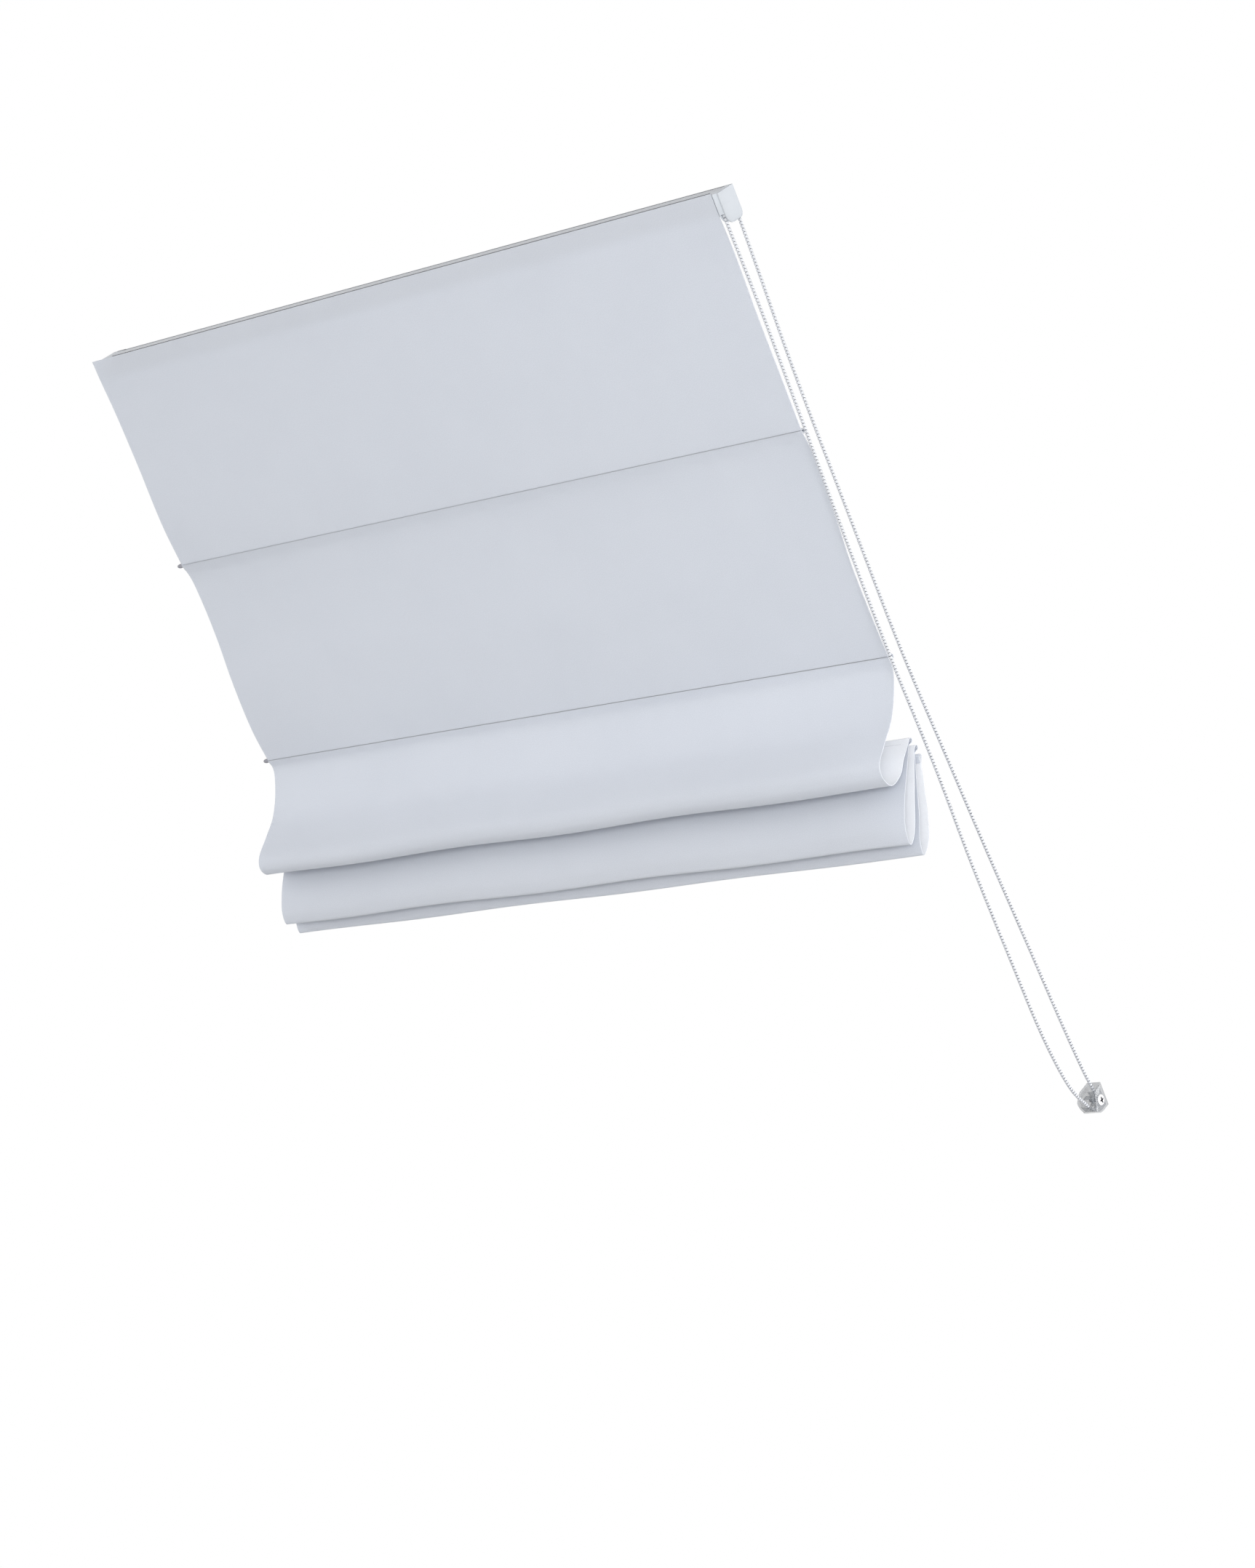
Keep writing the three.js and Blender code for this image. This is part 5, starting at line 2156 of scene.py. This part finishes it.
@dataclass
class TidyScrew:
    """The white screw through the tidy's right cheek.

    Attributes:
        centre: Untilted Y and Z of its middle, in metres.
        tip_x: Left end of its shank.
        head_x: Left face of its head.
        head_radius: Radius of the head.
        head_rim: Height of the head's straight rim.
        head_height: Height of the head.
        head_sides: How many sides the head has.
        dome_steps: How the dome rises and narrows, as shares of its height and of the size before.
        slot_width: Width of each slot of the recess.
        slot_reach: Half the length of each slot.
        slot_depth: Depth of the recess.
        thread_radius: Radius over the thread.
        core_share: How much of that radius the plain shank has.
        shank_sides: How many sides the shank has.
        overlap: How far the shank reaches into the head before they are welded.
        thread_start: How far from the shank's end the thread starts.
        thread_stop: How far from the head its last turn stays.
        thread_pitch: Distance from one turn of the thread to the next.
        thread_width: Width of a turn.
    """

    centre: Pair
    tip_x: float
    head_x: float
    head_radius: float = 7.3
    head_rim: float = 0.9
    head_height: float = 2.2
    head_sides: int = 40
    dome_steps: tuple[Pair, ...] = ((0.5, 0.93), (0.3, 0.86), (0.2, 0.72))
    slot_width: float = 2.6
    slot_reach: float = 4.5
    slot_depth: float = 1.7
    thread_radius: float = 2
    core_share: float = 0.8
    shank_sides: int = 20
    overlap: float = 0.4
    thread_start: float = 1
    thread_stop: float = 1.5
    thread_pitch: float = 1.3
    thread_width: float = 0.45

    def head(self) -> bpy.types.Object:
        """Models the domed head with its cross recess.

        Returns:
            The head.
        """
        rim_x = self.head_x + self.head_rim
        head = Bench.bar("white_screw", self.centre, self.head_radius, self.head_x, rim_x, self.head_sides)
        rise = (self.head_height - self.head_rim) * MM
        with Bench.editing(head):
            Bench.pick(head, lambda _, normal: normal.x > 0.9)
            for step, narrow in self.dome_steps:
                Bench.push((rise * step, 0, 0), narrow)
        y, z = self.centre
        left = self.floor()
        right = (self.head_x + self.head_height + 1) * MM
        slots = []
        for across, along in ((self.slot_reach, self.slot_width / 2), (self.slot_width / 2, self.slot_reach)):
            low = (left, y - across * MM, z - along * MM)
            slots.append(Bench.box("screw_slot", low, (right, y + across * MM, z + along * MM)))
        Bench.carve(head, slots)
        return head

    def floor(self) -> float:
        """Gives the X of the recess's floor, in metres."""
        return (self.head_x + self.head_height - self.slot_depth) * MM

    def shank(self) -> bpy.types.Object:
        """Models the shank with the turns of its thread.

        Returns:
            The shank.
        """
        radius = self.thread_radius * self.core_share
        ends = (self.tip_x, self.head_x + self.overlap)
        shank = Bench.bar("screw_shank", self.centre, radius, *ends, self.shank_sides)
        rise = self.thread_radius * (1 - self.core_share) * MM
        with Bench.editing(shank):
            place = self.tip_x + self.thread_start
            while place < self.head_x - self.thread_stop:
                for cut in (place, place + self.thread_width):
                    Bench.slice((cut * MM, 0, 0), (1, 0, 0))
                middle = (place + self.thread_width / 2) * MM
                Bench.pick(shank, lambda at, normal: abs(at.x - middle) < 0.1 * MM and abs(normal.x) < 0.5)
                bpy.ops.mesh.extrude_region_shrink_fatten(TRANSFORM_OT_shrink_fatten={"value": rise})
                place += self.thread_pitch
        return shank

    def in_recess(self, at: Vector, normal: Vector) -> bool:
        """Tells whether a face is one of the recess's.

        Args:
            at: The face's middle, before the tilt.
            normal: Its normal, before the tilt.

        Returns:
            Whether it is.
        """
        floor = self.floor()
        near = at.x > floor - CLOSE and (at.yz - Vector(self.centre)).length < self.slot_reach * MM
        return near and (normal.x < 0.2 or at.x < floor + CLOSE)

    def build(self) -> bpy.types.Object:
        """Welds the head and the shank, and paints shade into the recess.

        Returns:
            The screw.
        """
        screw = self.head()
        Bench.weld(screw, [self.shank()])
        Bench.dress(screw, SCREW_PAINT, ["tidy_screw"], Lie.SLOPE, 30)
        # The recess's faces get painted shade.
        Bench.coat(screw, RECESS_SHADE, self.in_recess)
        return screw


@dataclass(frozen=True)
class Lamp:
    """A soft rectangular lamp.

    Attributes:
        name: The lamp's name.
        place: Where it hangs, in metres.
        target: The place that it points at.
        size: Its width and height in metres.
        power: Its power in watts.
    """

    name: str
    place: Triple
    target: Triple
    size: Pair
    power: float


@dataclass
class Studio:
    """Plain pale floor and soft light.

    Attributes:
        floor_height: The floor's height, well below the blind.
        floor_reach: How far the floor goes each way.
        sky_low: The sky's brightness near the horizon.
        sky_high: The sky's brightness overhead.
        sky_turn: The heights that it changes between, where the horizon is at 0 and overhead at 1.
        lamps: The lamps.
    """

    floor_height: float = -2.8
    floor_reach: float = 12
    sky_low: float = 1.0
    sky_high: float = 0.35
    sky_turn: Pair = (0.42, 0.75)
    lamps: tuple[Lamp, ...] = (
        Lamp("front_light", (4.5, -4.8, -1.3), (0.0, 0.2, -0.6), (3.0, 1.4), 157),
        Lamp("upper_light", (-2.2, -3.6, 2.2), (0.0, 0.2, -0.6), (2.4, 2.4), 10),
        Lamp("side_light", (2.4, 1.5, -0.9), (0.5, 0.4, -0.7), (1.2, 1.2), 30),
    )

    def floor(self) -> None:
        """Lays the floor well below the blind."""
        bpy.ops.object.select_all(action="DESELECT")
        bpy.ops.mesh.primitive_plane_add(size=2 * self.floor_reach, location=(0, 0, self.floor_height))
        floor = bpy.context.active_object
        floor.name = "studio_floor"
        Bench.settle(floor)
        floor.data.materials.append(FLOOR.material())

    def sky(self) -> None:
        """Lights the surroundings evenly, white near the horizon and dimmer overhead."""
        world = bpy.data.worlds.new("soft_white")
        world.use_nodes = True
        tree = world.node_tree
        way = tree.nodes.new("ShaderNodeTexCoord")
        parts = tree.nodes.new("ShaderNodeSeparateXYZ")
        height = tree.nodes.new("ShaderNodeMapRange")
        height.interpolation_type = "SMOOTHSTEP"
        limits = {
            "From Min": self.sky_turn[0],
            "From Max": self.sky_turn[1],
            "To Min": self.sky_low,
            "To Max": self.sky_high,
        }
        for label, value in limits.items():
            height.inputs[label].default_value = value
        tree.links.new(way.outputs["Generated"], parts.inputs["Vector"])
        tree.links.new(parts.outputs["Z"], height.inputs["Value"])
        tree.links.new(height.outputs["Result"], tree.nodes["Background"].inputs["Strength"])
        tree.nodes["Background"].inputs["Color"].default_value = (1, 1, 1, 1)
        bpy.context.scene.world = world
        bpy.context.scene.view_settings.view_transform = "Standard"

    def light(self) -> None:
        """Hangs the soft lamps."""
        for lamp in self.lamps:
            data = bpy.data.lights.new(lamp.name, "AREA")
            data.shape = "RECTANGLE"
            data.size, data.size_y = lamp.size
            data.energy = lamp.power
            piece = bpy.data.objects.new(lamp.name, data)
            aim = (Vector(lamp.target) - Vector(lamp.place)).to_track_quat("-Z", "Y")
            piece.matrix_world = Matrix.LocRotScale(Vector(lamp.place), aim, None)
            piece.visible_camera = False
            bpy.context.scene.collection.objects.link(piece)

    def build(self) -> None:
        """Builds the floor, the sky and the lamps."""
        self.floor()
        self.sky()
        self.light()


def main() -> None:
    """Builds the camera, the blind piece by piece, and the studio."""
    logging.basicConfig(level=logging.INFO, format="%(name)s: %(message)s")
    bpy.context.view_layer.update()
    PhotoCamera().build()
    BeadChain().build()
    cloth = RomanCloth()
    cloth.build()
    CasingRods(cloth.tucks()).build()
    Headrail().build()
    ChainDrive().build()
    ChainTidy().build()
    Studio().build()


if __name__ == "__main__":
    main()
